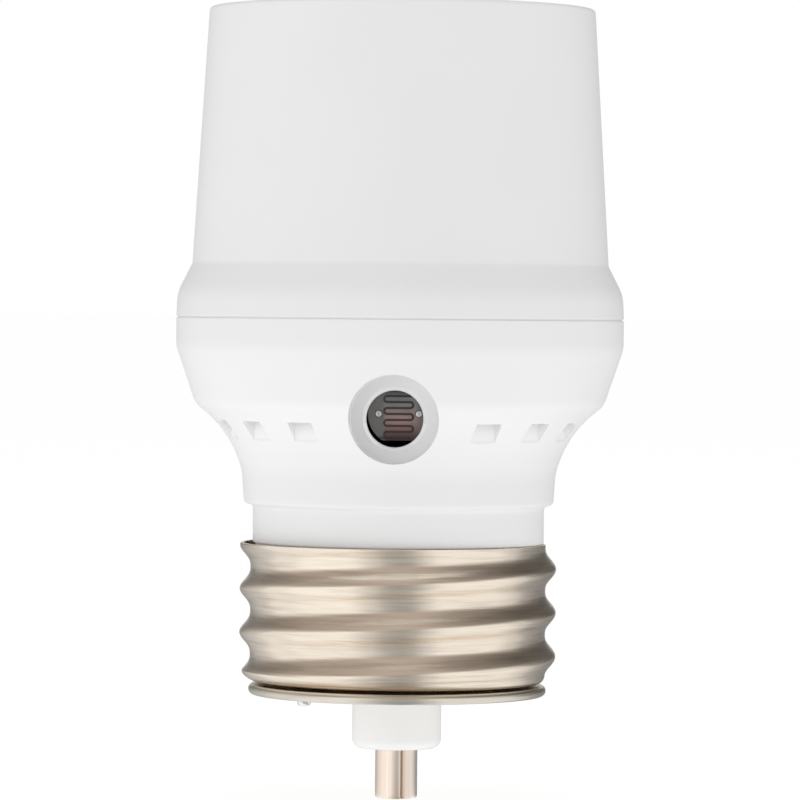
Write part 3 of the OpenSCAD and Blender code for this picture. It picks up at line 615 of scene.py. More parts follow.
def moulded_plastic(name, colour, roughness=0.4):
    """Moulded plastic with a fine satin grain and faint cloudy tone."""
    finish = Finish(name, Metallic=0.0, Specular_IOR_Level=0.25)
    cloud = finish.noise(9.0, detail=2.0)
    finish.colour(finish.blend(finish.between(cloud, 0.0, 1.0), tint(colour, 0.985), colour))
    grain = finish.noise(0.22, detail=4.0)
    finish.roughness(finish.between(grain, roughness - 0.05, roughness + 0.06))
    finish.bump(grain, strength=0.12, depth=0.01)
    return finish


def bowl_plastic(name, colour, painted_light_colour, port_painted_shades):
    """Moulded plastic, paler on the stub and in the vents as painted light, with a greyer ring round the sensor
    as painted shade, darker on its left.
    """
    finish = moulded_plastic(name, colour)
    plain = finish.shader.inputs["Base Color"].links[0].from_socket
    # Painted light: the stub is made paler, as if lit more from below.
    plain = finish.blend(finish.ramp("Z", STUB_Z, CORE_Z, STUB_PAINTED_LIGHT_MASK), plain, painted_light_colour)
    # Painted light: the backs of the vent pockets, which lie behind the cove, are made paler to lift their
    # shade.
    vents = finish.blend(finish.ramp("Z", VENT_Z - VENT_H, VENT_Z, VENT_PAINTED_LIGHT_MASK), plain, painted_light_colour)
    plain = finish.blend(finish.behind(COVE_C, COVE_R, EDGE), plain, vents)
    # Painted shade: the sunk ring round the sensor is greyer, darker on its left and lighter on its right.
    left, right = [tint(colour, tone) for tone in port_painted_shades]
    shade = finish.ramp("X", -PORT_R, PORT_R, [(PORT_SHADE_LEFT, left), (PORT_SHADE_RIGHT, right)])
    ring = finish.annulus((0, -PORT_FLOOR_Y, PORT_Z), PORT_R, PORT_RING_IN, PORT_RING_DEPTH)
    finish.colour(finish.blend(ring, plain, shade))
    return finish


def rolled_metal(name, colour, dark, roughness):
    """Plated sheet metal with fine lines round the screw axis and faint tarnish."""
    finish = Finish(name, Metallic=1.0)
    lines = finish.noise(0.12, detail=3.0, stretch=FINE_ROUND)
    streaks = finish.noise(0.5, detail=3.0, stretch=ROUND)
    smears = finish.noise(0.3, detail=2.0, stretch=ROUND)
    plating = finish.blend(finish.between(streaks, 0.0, 1.0), dark, colour)
    finish.colour(finish.blend(finish.between(smears, -0.45, 0.5), plating, tint(dark, 0.75)))
    finish.roughness(finish.between(lines, roughness - 0.04, roughness + 0.06))
    finish.bump(lines, strength=0.1, depth=0.01)
    finish.bump(streaks, strength=0.45, depth=0.03)
    finish.bump(smears, strength=0.45, depth=0.03)
    finish.bump(finish.noise(2.2, detail=2.0), strength=0.15, depth=0.04)
    return finish


def drawn_metal(name, tones, dark, roughness):
    """Metal drawn along the screw axis, with faint lines that way and tones round the axis that paint its
    highlights and the shade in its groove.
    """
    finish = Finish(name, Metallic=1.0)
    lines = finish.noise(0.25, detail=3.0, stretch=ALONG)
    # Painted light: the tones round the axis paint highlights and the shade of the groove.
    plain = round_axis(finish.tree, finish.place, tones)
    finish.colour(finish.blend(finish.between(lines, 0.0, 0.4), plain, dark))
    finish.roughness(finish.between(lines, roughness - 0.05, roughness + 0.07))
    finish.bump(lines, strength=0.15, depth=0.015)
    return finish


def plain_metal(name, colour, dark, roughness, relief=0.1):
    """Metal with faint blotches and a fine even grain."""
    finish = Finish(name, Metallic=1.0)
    cloud = finish.noise(0.9, detail=3.0)
    finish.colour(finish.blend(finish.between(cloud, 0.0, 1.0), dark, colour))
    grain = finish.noise(0.12, detail=3.0)
    finish.roughness(finish.between(grain, roughness - 0.05, roughness + 0.07))
    finish.bump(grain, strength=relief, depth=0.01)
    return finish


def lacquered(name, heights, side, size):
    """Layer of the photocell under clear lacquer: colours by height, which hold painted shade and, on the film,
    a painted reflection, and a tone towards the sides.
    """
    finish = Finish(name, Specular_IOR_Level=0.25, Coat_Weight=0.45, Coat_Roughness=0.12)
    # Painted shade: the colours by height darken the face towards the bottom and under the top of the hole.
    face = finish.ramp("Z", CELL_Z - FACE_BELOW, CELL_Z + FACE_ABOVE, heights)
    sides = finish.ramp("X", CELL_X - FACE_HALF_W, CELL_X + FACE_HALF_W, FACE_SIDES)
    face = finish.blend(sides, face, side)
    cloud = finish.between(finish.noise(size, detail=3.0), 0.0, 0.35)
    finish.colour(finish.blend(cloud, face, tint(side, 0.7)))
    grain = finish.noise(0.06, detail=3.0)
    finish.roughness(finish.between(grain, 0.32, 0.48))
    finish.bump(grain, strength=0.15, depth=0.006)
    return finish


def laminate(name, colour, dark):
    """Paper laminate of the circuit board, with short fibres."""
    finish = Finish(name)
    fibre = finish.noise(0.5, detail=4.0, stretch=FIBRES)
    finish.colour(finish.blend(finish.between(fibre, 0.0, 1.0), dark, colour))
    finish.roughness(finish.between(fibre, 0.45, 0.65))
    finish.bump(fibre, strength=0.2, depth=0.02)
    return finish


# Pieces
def cove_centre():
    """Centre of the hollow curve between the top of the skirt and the corner of the bowl."""
    low = np.array([SKIRT_TOP_R, COVE_Z])
    chord = np.array([FOOT_R, FOOT_Z]) - low
    length = np.linalg.norm(chord)
    off = math.sqrt(COVE_R**2 - length**2 / 4) / length
    return low + chord / 2 + off * np.array([chord[1], -chord[0]])


COVE_C = cove_centre()


def cove_at(z, wall=0.0):
    """Radius of the cove at a height, or of its inner side a wall behind it."""
    return COVE_C[0] - math.sqrt((COVE_R + wall) ** 2 - (z - COVE_C[1]) ** 2)


def cove_level(r, wall=0.0):
    """Height of the cove at a radius, or of its inner side a wall behind it."""
    return COVE_C[1] + math.sqrt((COVE_R + wall) ** 2 - (COVE_C[0] - r) ** 2)


def cove_points(z0, z1, wall, steps=COVE_STEPS):
    """Corners of an outline along the cove."""
    levels = [z0 + (z1 - z0) * i / steps for i in range(steps + 1)]
    return [[cove_at(z, wall), z, 0] for z in levels]


PORT_FLOOR_Y = cove_at(PORT_Z - PORT_R) - PORT_SINK
PORT_LIP_Y = PORT_FLOOR_Y - PORT_DISH
CELL_SEAT_Y = PORT_LIP_Y - PORT_LIP
CELL_Y = CELL_SEAT_Y - FIT - TRACK_T
CELL_BACK_Y = CELL_Y - CELL_T
BOSS_Y = CELL_BACK_Y - FIT
FOOT_IN_R = FOOT_R - BOWL_WALL
DAB_AT = (-math.sin(DAB_TURN) * DAB_R, -math.cos(DAB_TURN) * DAB_R)


def upper_housing(finish):
    """Tapered cup with a stepped collar below and a lip round its mouth."""
    cup = lathe("upper_housing", [
        [LAP_R, SEAM_Z, 0],
        [BOWL_R - SEAM_DEPTH, SEAM_Z, 0],
        [BOWL_R - SEAM_DEPTH, SEAM_Z + SEAM_GAP, 0],
        [BOWL_R, SEAM_Z + SEAM_GAP, SEAM_ROUND],
        [BOWL_R - COLLAR_DRAFT, SEAM_Z + COLLAR_BAND_H, COLLAR_ROUND],
        [CUP_R, CUP_Z, CUP_CORNER],
        [RIM_R, RIM_Z, RIM_ROUND],
        [MOUTH_R, RIM_Z, RIM_ROUND],
        [MOUTH_R, RIM_Z - LIP_H, 0],
        [RIM_R - CUP_WALL, RIM_Z - LIP_H, 2 * EDGE],
        [CUP_R - CUP_WALL, SOCKET_Z + FIT, 0],
        [POCKET_R, SOCKET_Z + FIT, 0],
        [POCKET_R, CARRIER_Z + FIT, 0],
        [LAP_R, CARRIER_Z + FIT, 0],
    ])
    finished(cup, "housing_plastic", finish, "socket_housing")


def base_form():
    """Outside of the lower housing, as a full solid."""
    return lathe("lower_housing", [
        [0, STUB_Z, 0],
        [STUB_R, STUB_Z, STUB_ROUND],
        [STUB_R, CORE_Z, 0],
        [CORE_R, CORE_Z, CORE_ROUND],
        [CORE_R, NECK_Z, 0],
        [NECK_R, NECK_Z, EDGE],
        [NECK_R, SKIRT_Z, NECK_ROUND],
        [SKIRT_R, SKIRT_Z, SKIRT_ROUND],
        [SKIRT_TOP_R, COVE_Z, SKIRT_TOP_ROUND],
        *cove_points(COVE_Z + COVE_START, FOOT_Z - COVE_STOP, 0),
        [FOOT_R, FOOT_Z, FOOT_ROUND],
        [BOWL_R, BAND_Z, BOWL_ROUND],
        [BOWL_R, SEAM_Z, SEAM_ROUND],
        [SPIGOT_R, SEAM_Z, 0],
        [SPIGOT_R, CARRIER_Z, EDGE],
        [0, CARRIER_Z, 0],
    ])


def base_hollow():
    """Hollow of the lower housing, less the sensor boss and the ribs that stand in it."""
    low_z = cove_level(SKIRT_TOP_R - BOWL_WALL + EDGE, BOWL_WALL)
    foot_z = cove_level(FOOT_IN_R, BOWL_WALL)
    hollow = lathe("hollow", [
        [0, CORE_Z + CORE_FLOOR, 0],
        [CORE_IN_R, CORE_Z + CORE_FLOOR, EDGE],
        [CORE_IN_R, SKIRT_Z, 2 * EDGE],
        *cove_points(low_z, foot_z, BOWL_WALL, HOLLOW_STEPS),
        [SPIGOT_IN_R, HOLLOW_Z, 0],
        [SPIGOT_IN_R, CARRIER_Z + OVER, 0],
        [0, CARRIER_Z + OVER, 0],
    ], SIDES // 2)
    boss = [[0, BOSS_Y, 0], [BOSS_R, BOSS_Y, 2 * EDGE], [BOSS_R, BOWL_R, 0], [0, BOWL_R, 0]]
    combine(hollow, port_lathe("boss", boss, SIDES // 3), "DIFFERENCE")
    rib = [[RIB_R, foot_z, 0], [BOWL_R, foot_z, 0], [BOWL_R, BOARD_Z, 0], [RIB_R, BOARD_Z, 0]]
    for side in (-1, 1):
        for step in RIB_STEPS:
            degrees = side * (VENT_FIRST + step * VENT_PITCH)
            combine(hollow, turned(prism("rib", rib, RIB_W), degrees), "DIFFERENCE")
    return hollow


def vent_cut():
    """One vent pocket with the slot in its roof, at the front."""
    back_r = cove_at(VENT_Z) - VENT_DEPTH
    slot_r = back_r + SLOT_W
    slot_z = cove_level(slot_r, BOWL_WALL) + SLOT_OVER
    return prism("vent", [
        [back_r, COVE_Z, 0],
        [FOOT_R + OVER, COVE_Z, 0],
        [FOOT_R + OVER, VENT_Z, 0],
        [slot_r, VENT_Z, 0],
        [slot_r, slot_z, 0],
        [back_r, slot_z, 0],
    ], VENT_W)


def port_cut():
    """Recess of the sensor port, its hole and the pocket of the photocell behind it."""
    return port_lathe("port", [
        [0, BOSS_Y - OVER, 0],
        [CELL_POCKET_R, BOSS_Y - OVER, 0],
        [CELL_POCKET_R, CELL_SEAT_Y, 0],
        [PORT_HOLE_R, CELL_SEAT_Y, 0],
        [PORT_HOLE_R, PORT_LIP_Y, PORT_LIP_ROUND],
        [PORT_R, PORT_FLOOR_Y, EDGE],
        [PORT_R, BOWL_R + OVER, 0],
        [0, BOWL_R + OVER, 0],
    ])


def lower_housing(finish):
    """Bowl with its vents and sensor port, neck, core of the screw shell and stub, in one moulding."""
    base = combine(base_form(), base_hollow(), "DIFFERENCE")
    for side in (-1, 1):
        for k in range(VENTS_A_SIDE):
            combine(base, turned(vent_cut(), side * (VENT_FIRST + k * VENT_PITCH)), "DIFFERENCE")
    combine(base, port_cut(), "DIFFERENCE")
    top = CORE_Z + CORE_FLOOR + OVER
    combine(base, rod("pin_hole", PIN_R + FIT, STUB_Z - OVER, top), "DIFFERENCE")
    lead_hole = rod("lead_hole", BARE_D / 2 + 2 * FIT, CORE_Z - OVER, top, DAB_AT, WIRE_HOLE_SIDES)
    combine(base, lead_hole, "DIFFERENCE")
    finished(base, "housing_plastic", finish, "base_housing")


def crest(z, turn):
    """Height of the rolled thread above its root, from 0 to 1."""
    return ((1 + math.cos(2 * math.pi * z / PITCH - turn + THREAD_TURN)) / 2) ** THREAD_CREST


def threaded_sheet(name, z0, z1, root, lip, top_fade, sides, row_height):
    """Sheet cup with a rolled thread, a lip turned in below and a rounded upper edge."""
    wall_z = z0 + SHELL_BEND
    edge = SHEET / 3
    steps = math.ceil((z1 - edge - wall_z) / row_height)

    def share(z):
        grown = (z - z0) / THREAD_FADE
        left = (z1 - z) / top_fade if top_fade else 1
        return max(0, min(1, grown, left))

    def bend_rows(radius):
        rows = []
        for i in range(BEND_STEPS):
            t = math.pi / 2 * (i / BEND_STEPS - 1)
            r = root - SHELL_BEND + radius * math.cos(t)
            rows.append((wall_z + radius * math.sin(t), r, share(wall_z + SHELL_BEND * math.sin(t))))
        return rows

    levels = [wall_z + (z1 - edge - wall_z) * i / steps for i in range(steps + 1)]
    lip_r = root - lip
    outer = [(z0, lip_r + edge, 0), *bend_rows(SHELL_BEND), *[(z, root, share(z)) for z in levels]]
    cut = SHEET_CHAMFER * edge
    top = [(z1 - cut, root - cut), (z1, root - edge), (z1, root - SHEET + edge), (z1 - cut, root - SHEET + cut)]
    inner = [(z, root - SHEET, share(z)) for z in reversed(levels)]
    inner += reversed(bend_rows(SHELL_BEND - SHEET))
    end = [(z0 + SHEET, lip_r + edge, 0), (z0 + SHEET - edge, lip_r, 0), (z0 + edge, lip_r, 0)]
    rows = [*outer, *[(z, r, share(z)) for z, r in top], *inner, *end]
    points = []
    for k in range(sides):
        turn = 2 * math.pi * k / sides
        for z, r, grown in rows:
            full = r + THREAD_DEPTH * grown * crest(z, turn)
            points.append((full * math.cos(turn), full * math.sin(turn), z))
    return weld(make_object(name, points, ring_faces(sides, len(rows), True)))


def screw_shell(finish):
    """Threaded shell of the lamp base."""
    shell = threaded_sheet("thread_shell", SHELL_Z, NECK_Z, SHELL_ROOT_R, SHELL_LIP, 0, SHELL_SIDES, SHELL_ROW)
    finished(shell, "plated_brass", finish, "screw_shell")


def lamp_shell(finish):
    """Threaded shell of the lamp socket, with holes for its rivets."""
    shell = threaded_sheet(
        "lamp_thread_shell", SOCKET_Z, SOCKET_Z + SOCKET_H, SOCKET_ROOT_R, SOCKET_LIP, THREAD_FADE,
        SOCKET_SIDES, SOCKET_ROW,
    )
    for side in (-1, 1):
        hole = rod("hole", RIVET_D / 2 + FIT, SOCKET_Z - OVER, SOCKET_Z + OVER, (side * RIVET_CIRCLE_R, 0))
        combine(shell, hole, "DIFFERENCE")
    finished(shell, "plated_brass", finish, "lamp_screw_shell")


def end_disc(finish):
    """Thin disc with a rolled rim, closed up against the lip of the screw shell."""
    bead_in_r = DISC_R - DISC_BEAD_W
    plate_r = bead_in_r - SHEET
    disc = lathe("base_disc", [
        [STUB_R + 2 * FIT, SHELL_Z - SHEET, EDGE],
        [plate_r, SHELL_Z - SHEET, EDGE],
        [bead_in_r, DISC_Z, EDGE],
        [DISC_R, DISC_Z, DISC_BEAD / 2],
        [DISC_R, DISC_Z + DISC_BEAD, DISC_BEAD / 2],
        [bead_in_r, DISC_Z + DISC_BEAD, EDGE],
        [plate_r, SHELL_Z, EDGE],
        [STUB_R + 2 * FIT, SHELL_Z, EDGE],
    ])
    lead_hole = rod("hole", BARE_D / 2 + 2 * FIT, DISC_Z, SHELL_Z + OVER, DAB_AT, WIRE_HOLE_SIDES)
    combine(disc, lead_hole, "DIFFERENCE")
    finished(disc, "disc_metal", finish, "end_disc")


def solder_dab(finish):
    """Lumpy dab of solder round the bare end of the neutral lead."""
    top = SHELL_Z - SHEET
    low = top - DAB_H
    dab = lathe("solder", [
        [0, low, 0],
        [DAB_D / 2 - DAB_TAPER, low, DAB_ROUND],
        [DAB_D / 2, top - DAB_FOOT, DAB_FOOT],
        [DAB_D / 2, top, 0],
        [0, top, 0],
    ], SMALL_SIDES)
    for vertex in dab.data.vertices:
        lump = noise.noise(vertex.co * DAB_LUMPS) * DAB_RELIEF
        share = min(1.0, max(0.0, (top - vertex.co.z) / DAB_FADE))
        vertex.co.x *= 1 + lump * share * DAB_SWELL
        vertex.co.y *= 1 + lump * share * DAB_SWELL
        vertex.co.z = max(low, vertex.co.z + lump * share)
    moved(dab, Matrix.Translation((*DAB_AT, 0)))
    finished(dab, "solder", finish, "solder_dab")


def pin_turns():
    """Directions round the pin, from one lip of its groove, with fine steps across the groove."""
    half = PIN_GROOVE_W / 2 / PIN_R
    fine = [half * i / GROOVE_STEPS for i in range(-GROOVE_STEPS, GROOVE_STEPS)]
    return fine + [half + (2 * math.pi - 2 * half) * i / PIN_STEPS for i in range(PIN_STEPS)]


def groove_depth(turn):
    """Depth of the groove between the rolled edges, whose lips are rounded."""
    away = min(turn % (2 * math.pi), -turn % (2 * math.pi)) * PIN_R
    return PIN_GROOVE * max(0.0, 1 - 2 * away / PIN_GROOVE_W) ** PIN_GROOVE_FORM


def contact_pin(finish):
    """Pin rolled from sheet, whose edges meet in a groove."""
    bore_r = PIN_R - PIN_WALL
    lip = PIN_BEVEL / 3
    turns = [math.pi / 2 * i / PIN_BEVEL_STEPS for i in range(PIN_BEVEL_STEPS, -1, -1)]
    low = [(PIN_BEVEL * (1 - math.sin(t)), PIN_R - PIN_BEVEL * (1 - math.cos(t))) for t in turns]
    low.append((PIN_BEVEL + SUPPORT, PIN_R))
    outer = low + [(PIN_TOP - z, r) for z, r in reversed(low)]
    inner = [(PIN_TOP, bore_r + lip), (PIN_TOP - lip, bore_r), (lip, bore_r), (0, bore_r + lip)]
    around = pin_turns()
    points = []
    for turn in around:
        t = turn - math.pi / 2 + PIN_GROOVE_TURN
        cut = groove_depth(turn)
        for z, r in [(z, r - cut) for z, r in outer] + inner:
            points.append((r * math.cos(t), r * math.sin(t), z))
    rows = len(outer) + len(inner)
    pin = weld(make_object("rolled_pin", points, ring_faces(len(around), rows, True)))
    finished(pin, "pin_brass", finish, "contact_pin")


def tube(name, route, radius):
    """Round wire along a route, closed at both ends."""
    at = [Vector(p) for p in route]
    points = []
    for i, p in enumerate(at):
        along = (at[min(i + 1, len(at) - 1)] - at[max(i - 1, 0)]).normalized()
        side = along.cross(ASIDE).normalized()
        up = along.cross(side)
        turns = [2 * math.pi * k / WIRE_SIDES for k in range(WIRE_SIDES)]
        points += [p + radius * (side * math.cos(t) + up * math.sin(t)) for t in turns]
    return weld(make_object(name, points, capped_faces(len(at), WIRE_SIDES)))


def cell_leads(finish):
    """The photocell's two leads, each with a bead at the face, bent up to the board."""
    wires = []
    lead_y = CELL_BACK_Y - LEAD_OUT
    turns = [math.pi / 2 * i / LEG_STEPS for i in range(LEG_STEPS + 1)]
    arc = [(-lead_y - LEG_BEND * (1 - math.sin(t)), CELL_Z + LEG_BEND * (1 - math.cos(t))) for t in turns]
    for side in (-1, 1):
        x = CELL_X + side * LEAD_PITCH / 2
        bend = [(x, y, z) for y, z in arc]
        route = [(x, -CELL_Y - TRACK_T / 2, CELL_Z), *bend, (x, -lead_y, BOARD_TOP + LEG_END)]
        wires.append(tube("photocell_wires", route, LEAD_D / 2))
        dome = [[LEAD_D / 2 * math.cos(t), TRACK_T * math.sin(t), 0] for t in turns]
        bead = [[0, 0, 0], *dome[:-1], [0, TRACK_T, 0]]
        bead = moved(lathe("bead", bead, BEAD_SIDES), Matrix.Rotation(math.pi / 2, 4, "X"))
        wires.append(moved(bead, Matrix.Translation((x, -CELL_Y, CELL_Z))))
    finished(joined(*wires), "tinned_wire", finish, "photocell_leads")


def rivet(name, z0, z1, at):
    """Rivet from its tail head under z0 to its domed head above z1."""
    head_r = RIVET_HEAD_D / 2
    body = lathe(name, [
        [0, z0 - RIVET_HEAD_H, 0],
        [RIVET_D / 2, z0 - RIVET_HEAD_H, EDGE],
        [head_r, z0 - RIVET_EDGE_H, EDGE],
        [head_r, z0, 0],
        [RIVET_D / 2, z0, 0],
        [RIVET_D / 2, z1, 0],
        [head_r, z1, 0],
        [head_r, z1 + RIVET_EDGE_H, EDGE],
        [RIVET_D / 2, z1 + RIVET_HEAD_H, 2 * EDGE],
        [0, z1 + RIVET_HEAD_H, 0],
    ], SMALL_SIDES)
    return moved(body, Matrix.Translation((at[0], at[1], 0)))


def socket_rivets(finish, contact_finish):
    """Rivets of the socket shell, and the one of the centre contact."""
    pair = [rivet("socket_rivets", CARRIER_Z, SOCKET_Z + SHEET, (s * RIVET_CIRCLE_R, 0)) for s in (-1, 1)]
    finished(joined(*pair), "rivet_metal", finish, "shell_rivets")
    centre = rivet("tongue_rivet", CARRIER_Z, SOCKET_Z + TONGUE_T, (0, TONGUE_RIVET_Y))
    finished(centre, "spring_brass", contact_finish, "contact_rivet")


def contact_tongue(finish):
    """Springy centre contact: a bent strip with a rounded pad under the lamp."""
    head = RIVET_HEAD_D / 2 + TONGUE_MARGIN
    pad_y = TONGUE_TIP - TONGUE_REACH
    pad_z = SOCKET_Z + TONGUE_RISE
    path = [
        [-TONGUE_REACH, pad_z - TONGUE_TIP_DROP, 0],
        [pad_y, pad_z, TONGUE_BEND],
        [pad_y + TONGUE_PAD, pad_z, TONGUE_BEND],
        [TONGUE_RIVET_Y - head, SOCKET_Z, TONGUE_BEND],
        [TONGUE_RIVET_Y + head, SOCKET_Z, 0],
    ]
    middle = [np.array(path[0][:2])]
    for before, at, after in zip(path, path[1:], path[2:]):
        middle += rounded_corner(before, at, after)
    middle.append(np.array(path[-1][:2]))
    normals = []
    for i, p in enumerate(middle):
        step = middle[min(i + 1, len(middle) - 1)] - middle[max(i - 1, 0)]
        normals.append(np.array([-step[1], step[0]]) / np.linalg.norm(step))
    edge = TONGUE_T / 4
    half = TONGUE_W / 2
    across = [
        (-half + edge, 0), (half - edge, 0), (half, edge), (half, TONGUE_T - edge),
        (half - edge, TONGUE_T), (-half + edge, TONGUE_T), (-half, TONGUE_T - edge), (-half, edge),
    ]
    points = [(x, p[0] + n[0] * t, p[1] + n[1] * t) for p, n in zip(middle, normals) for x, t in across]
    strip = weld(make_object("contact_tongue", points, capped_faces(len(middle), len(across))))
    hole = rod("hole", RIVET_D / 2 + FIT, SOCKET_Z - OVER, SOCKET_Z + OVER, (0, TONGUE_RIVET_Y))
    combine(strip, hole, "DIFFERENCE")
    finished(strip, "spring_brass", finish, "centre_contact")


# Camera, in metres and as the photograph was taken
CAMERA_DISTANCE = 0.430
CAMERA_TURN = math.radians(1.7)
CAMERA_HEIGHT = 0.0405
CAMERA_ROLL = math.radians(0.5)
AIM = Vector((0.00005, 0.0, 0.03308))
FOCAL_LENGTH = 232.8
SENSOR_WIDTH = 36.0
CLIP_START = 0.01


def add_camera():
    """Camera at the photograph's viewing angle."""
    data = bpy.data.cameras.new("camera")
    data.lens = FOCAL_LENGTH
    data.sensor_width = SENSOR_WIDTH
    data.clip_start = CLIP_START
    camera = bpy.data.objects.new("camera", data)
    camera.location = (
        CAMERA_DISTANCE * math.sin(CAMERA_TURN), -CAMERA_DISTANCE * math.cos(CAMERA_TURN), CAMERA_HEIGHT,
    )
    look = (AIM - camera.location).to_track_quat("-Z", "Y").to_matrix().to_4x4()
    look = look @ Matrix.Rotation(CAMERA_ROLL, 4, "Z")
    camera.rotation_euler = look.to_euler()
    bpy.context.scene.collection.objects.link(camera)
    bpy.context.scene.camera = camera


# Tones that polished surfaces see round the studio, low and high: (degrees to the right of the front, tone)
LOW_RING = (
    (-180, 0.7), (-171, 0.7), (-162, 0.25), (-152, 0.25), (-143, 0.42), (-120, 0.66), (-100, 1.05),
    (-85, 1.05), (-70, 1.2), (-33, 1.2), (-17, 0.8), (-5, 0.44), (5, 0.36), (14, 0.44), (22, 0.78),
    (34, 1.15), (80, 1.1), (100, 0.78), (117, 0.34), (135, 0.18), (150, 0.13), (165, 0.13), (173, 0.6),
)
HIGH_RING = (
    (-180, 0.5), (-160, 0.2), (-140, 0.2), (-120, 0.32), (-95, 0.45), (-85, 0.45), (-45, 0.5), (-10, 0.55),
    (15, 0.54), (30, 0.5), (60, 0.34), (85, 0.28), (105, 0.2), (125, 0.12), (155, 0.1), (172, 0.4),
)
HIGH_TINT = (1.0, 0.9, 0.83)

# Sine of the height at which only the high tones are seen, and the room's plain light and its look
HIGH_FULL = 0.6
ROOM_SIDE = 0.66
ROOM_SEEN = 1.0

# Floor, in metres: its size and drop below the part, paint, look, share of paint and plain light
FLOOR_SIZE = 60.0
FLOOR_DROP = 0.0003
FLOOR_WHITE = 0.9
FLOOR_GLOW = 1.09
FLOOR_SHADOW = 0.2
FLOOR_BOUNCE = 1.3


# A ray has bounced off no matt surface if its count of such bounces is below this
NO_BOUNCE = 0.5

# Lamps: name, place and size in metres, and power in watts
LAMP_AIM = Vector((0, 0, 0.03))
SOFTBOXES = (
    ("softbox_left", (-0.8, -0.2, 0.05), (0.5, 0.7), 0.75),
    ("softbox_top", (0, -0.1, 0.9), (0.6, 0.6), 1.2),
)


def ring_tone(tree, place, stops, hue=WHITE):
    """Tones round the studio as a colour."""
    return round_axis(tree, place, [(degrees, tint(hue, tone)) for degrees, tone in stops])


def by_ray(tree, diffuse, glossy, seen):
    """Tones for light, for what a polished surface mirrors and for rays that show the background itself."""
    path = tree.nodes.new("ShaderNodeLightPath")
    first = tree.nodes.new("ShaderNodeMath")
    first.operation = "LESS_THAN"
    first.inputs[1].default_value = NO_BOUNCE
    tree.links.new(path.outputs["Diffuse Depth"], first.inputs[0])
    mirrored = tree.nodes.new("ShaderNodeMath")
    mirrored.operation = "MULTIPLY"
    tree.links.new(path.outputs["Is Glossy Ray"], mirrored.inputs[0])
    tree.links.new(first.outputs["Value"], mirrored.inputs[1])
    tone = mixed(tree, mirrored.outputs["Value"], diffuse, glossy)
    tone = mixed(tree, path.outputs["Is Transmission Ray"], tone, seen)
    return mixed(tree, path.outputs["Is Camera Ray"], tone, seen)


def add_world():
    """White room: plain soft light, with the studio's lit and dark sides in the metal."""
    world = bpy.data.worlds.new("studio")
    world.use_nodes = True
    bpy.context.scene.world = world
    tree = world.node_tree
    direction = tree.nodes.new("ShaderNodeTexCoord").outputs["Generated"]
    split = tree.nodes.new("ShaderNodeSeparateXYZ")
    tree.links.new(direction, split.inputs["Vector"])
    height = tree.nodes.new("ShaderNodeMapRange")
    height.interpolation_type = "SMOOTHSTEP"
    height.inputs["From Min"].default_value = 0.0
    height.inputs["From Max"].default_value = HIGH_FULL
    tree.links.new(split.outputs["Z"], height.inputs["Value"])
    low = ring_tone(tree, direction, LOW_RING)
    high = ring_tone(tree, direction, HIGH_RING, HIGH_TINT)
    tone = by_ray(tree, ROOM_SIDE, mixed(tree, height.outputs["Result"], low, high), ROOM_SEEN)
    tree.links.new(tone, tree.nodes["Background"].inputs["Color"])


def add_floor():
    """Pale floor that shows white, keeps a soft shadow and is clear from below."""
    half = FLOOR_SIZE / 2
    corners = [(-half, -half, 0), (half, -half, 0), (half, half, 0), (-half, half, 0)]
    floor = make_object("floor", corners, [(0, 1, 2, 3)])
    floor.location.z = cad_box[0][2] - FLOOR_DROP
    material = bpy.data.materials.new("pale_floor")
    material.use_nodes = True
    tree = material.node_tree
    tree.nodes.remove(tree.nodes["Principled BSDF"])
    place = tree.nodes.new("ShaderNodeTexCoord").outputs["Object"]
    glow = tree.nodes.new("ShaderNodeEmission")
    tone = by_ray(tree, FLOOR_BOUNCE, ring_tone(tree, place, LOW_RING), FLOOR_GLOW)
    tree.links.new(tone, glow.inputs["Color"])
    paint = tree.nodes.new("ShaderNodeBsdfDiffuse")
    paint.inputs["Color"].default_value = (FLOOR_WHITE, FLOOR_WHITE, FLOOR_WHITE, 1)
    mix = tree.nodes.new("ShaderNodeMixShader")
    mix.inputs["Fac"].default_value = FLOOR_SHADOW
    tree.links.new(glow.outputs["Emission"], mix.inputs[1])
    tree.links.new(paint.outputs["BSDF"], mix.inputs[2])
    below = tree.nodes.new("ShaderNodeMixShader")
    tree.links.new(tree.nodes.new("ShaderNodeNewGeometry").outputs["Backfacing"], below.inputs["Fac"])
    tree.links.new(mix.outputs["Shader"], below.inputs[1])
    tree.links.new(tree.nodes.new("ShaderNodeBsdfTransparent").outputs["BSDF"], below.inputs[2])
    tree.links.new(below.outputs["Shader"], tree.nodes["Material Output"].inputs["Surface"])
    floor.data.materials.append(material)


def add_softbox(name, location, size, power):
    """Soft lamp that lights the part and isn't mirrored in it."""
    data = bpy.data.lights.new(name, "AREA")
    data.shape = "RECTANGLE"
    data.size, data.size_y = size
    data.energy = power
    lamp = bpy.data.objects.new(name, data)
    lamp.location = location
    lamp.rotation_euler = (LAMP_AIM - lamp.location).to_track_quat("-Z", "Y").to_euler()
    lamp.visible_glossy = False
    bpy.context.scene.collection.objects.link(lamp)


# Colour of the pin from its plain side over the groove to the other edge of the sheet: painted highlights
# before and after the groove, and painted shade in and beside it
PIN_PAINTED_LIGHT_TONES = (
    (-180, (0.86, 0.75, 0.66)), (-100, (0.9, 0.78, 0.67)), (-85, (0.9, 0.78, 0.67)), (-32, (0.92, 0.79, 0.68)),
    (-18, (1.0, 0.89, 0.79)), (-4, (1.0, 0.88, 0.77)), (7, (0.84, 0.73, 0.63)), (13, (0.74, 0.63, 0.54)),
    (20, (0.74, 0.63, 0.54)), (25, (0.76, 0.67, 0.59)), (38, (0.78, 0.69, 0.61)), (55, (1.0, 0.91, 0.83)),
    (100, (0.9, 0.8, 0.7)), (140, (0.86, 0.75, 0.66)),
)
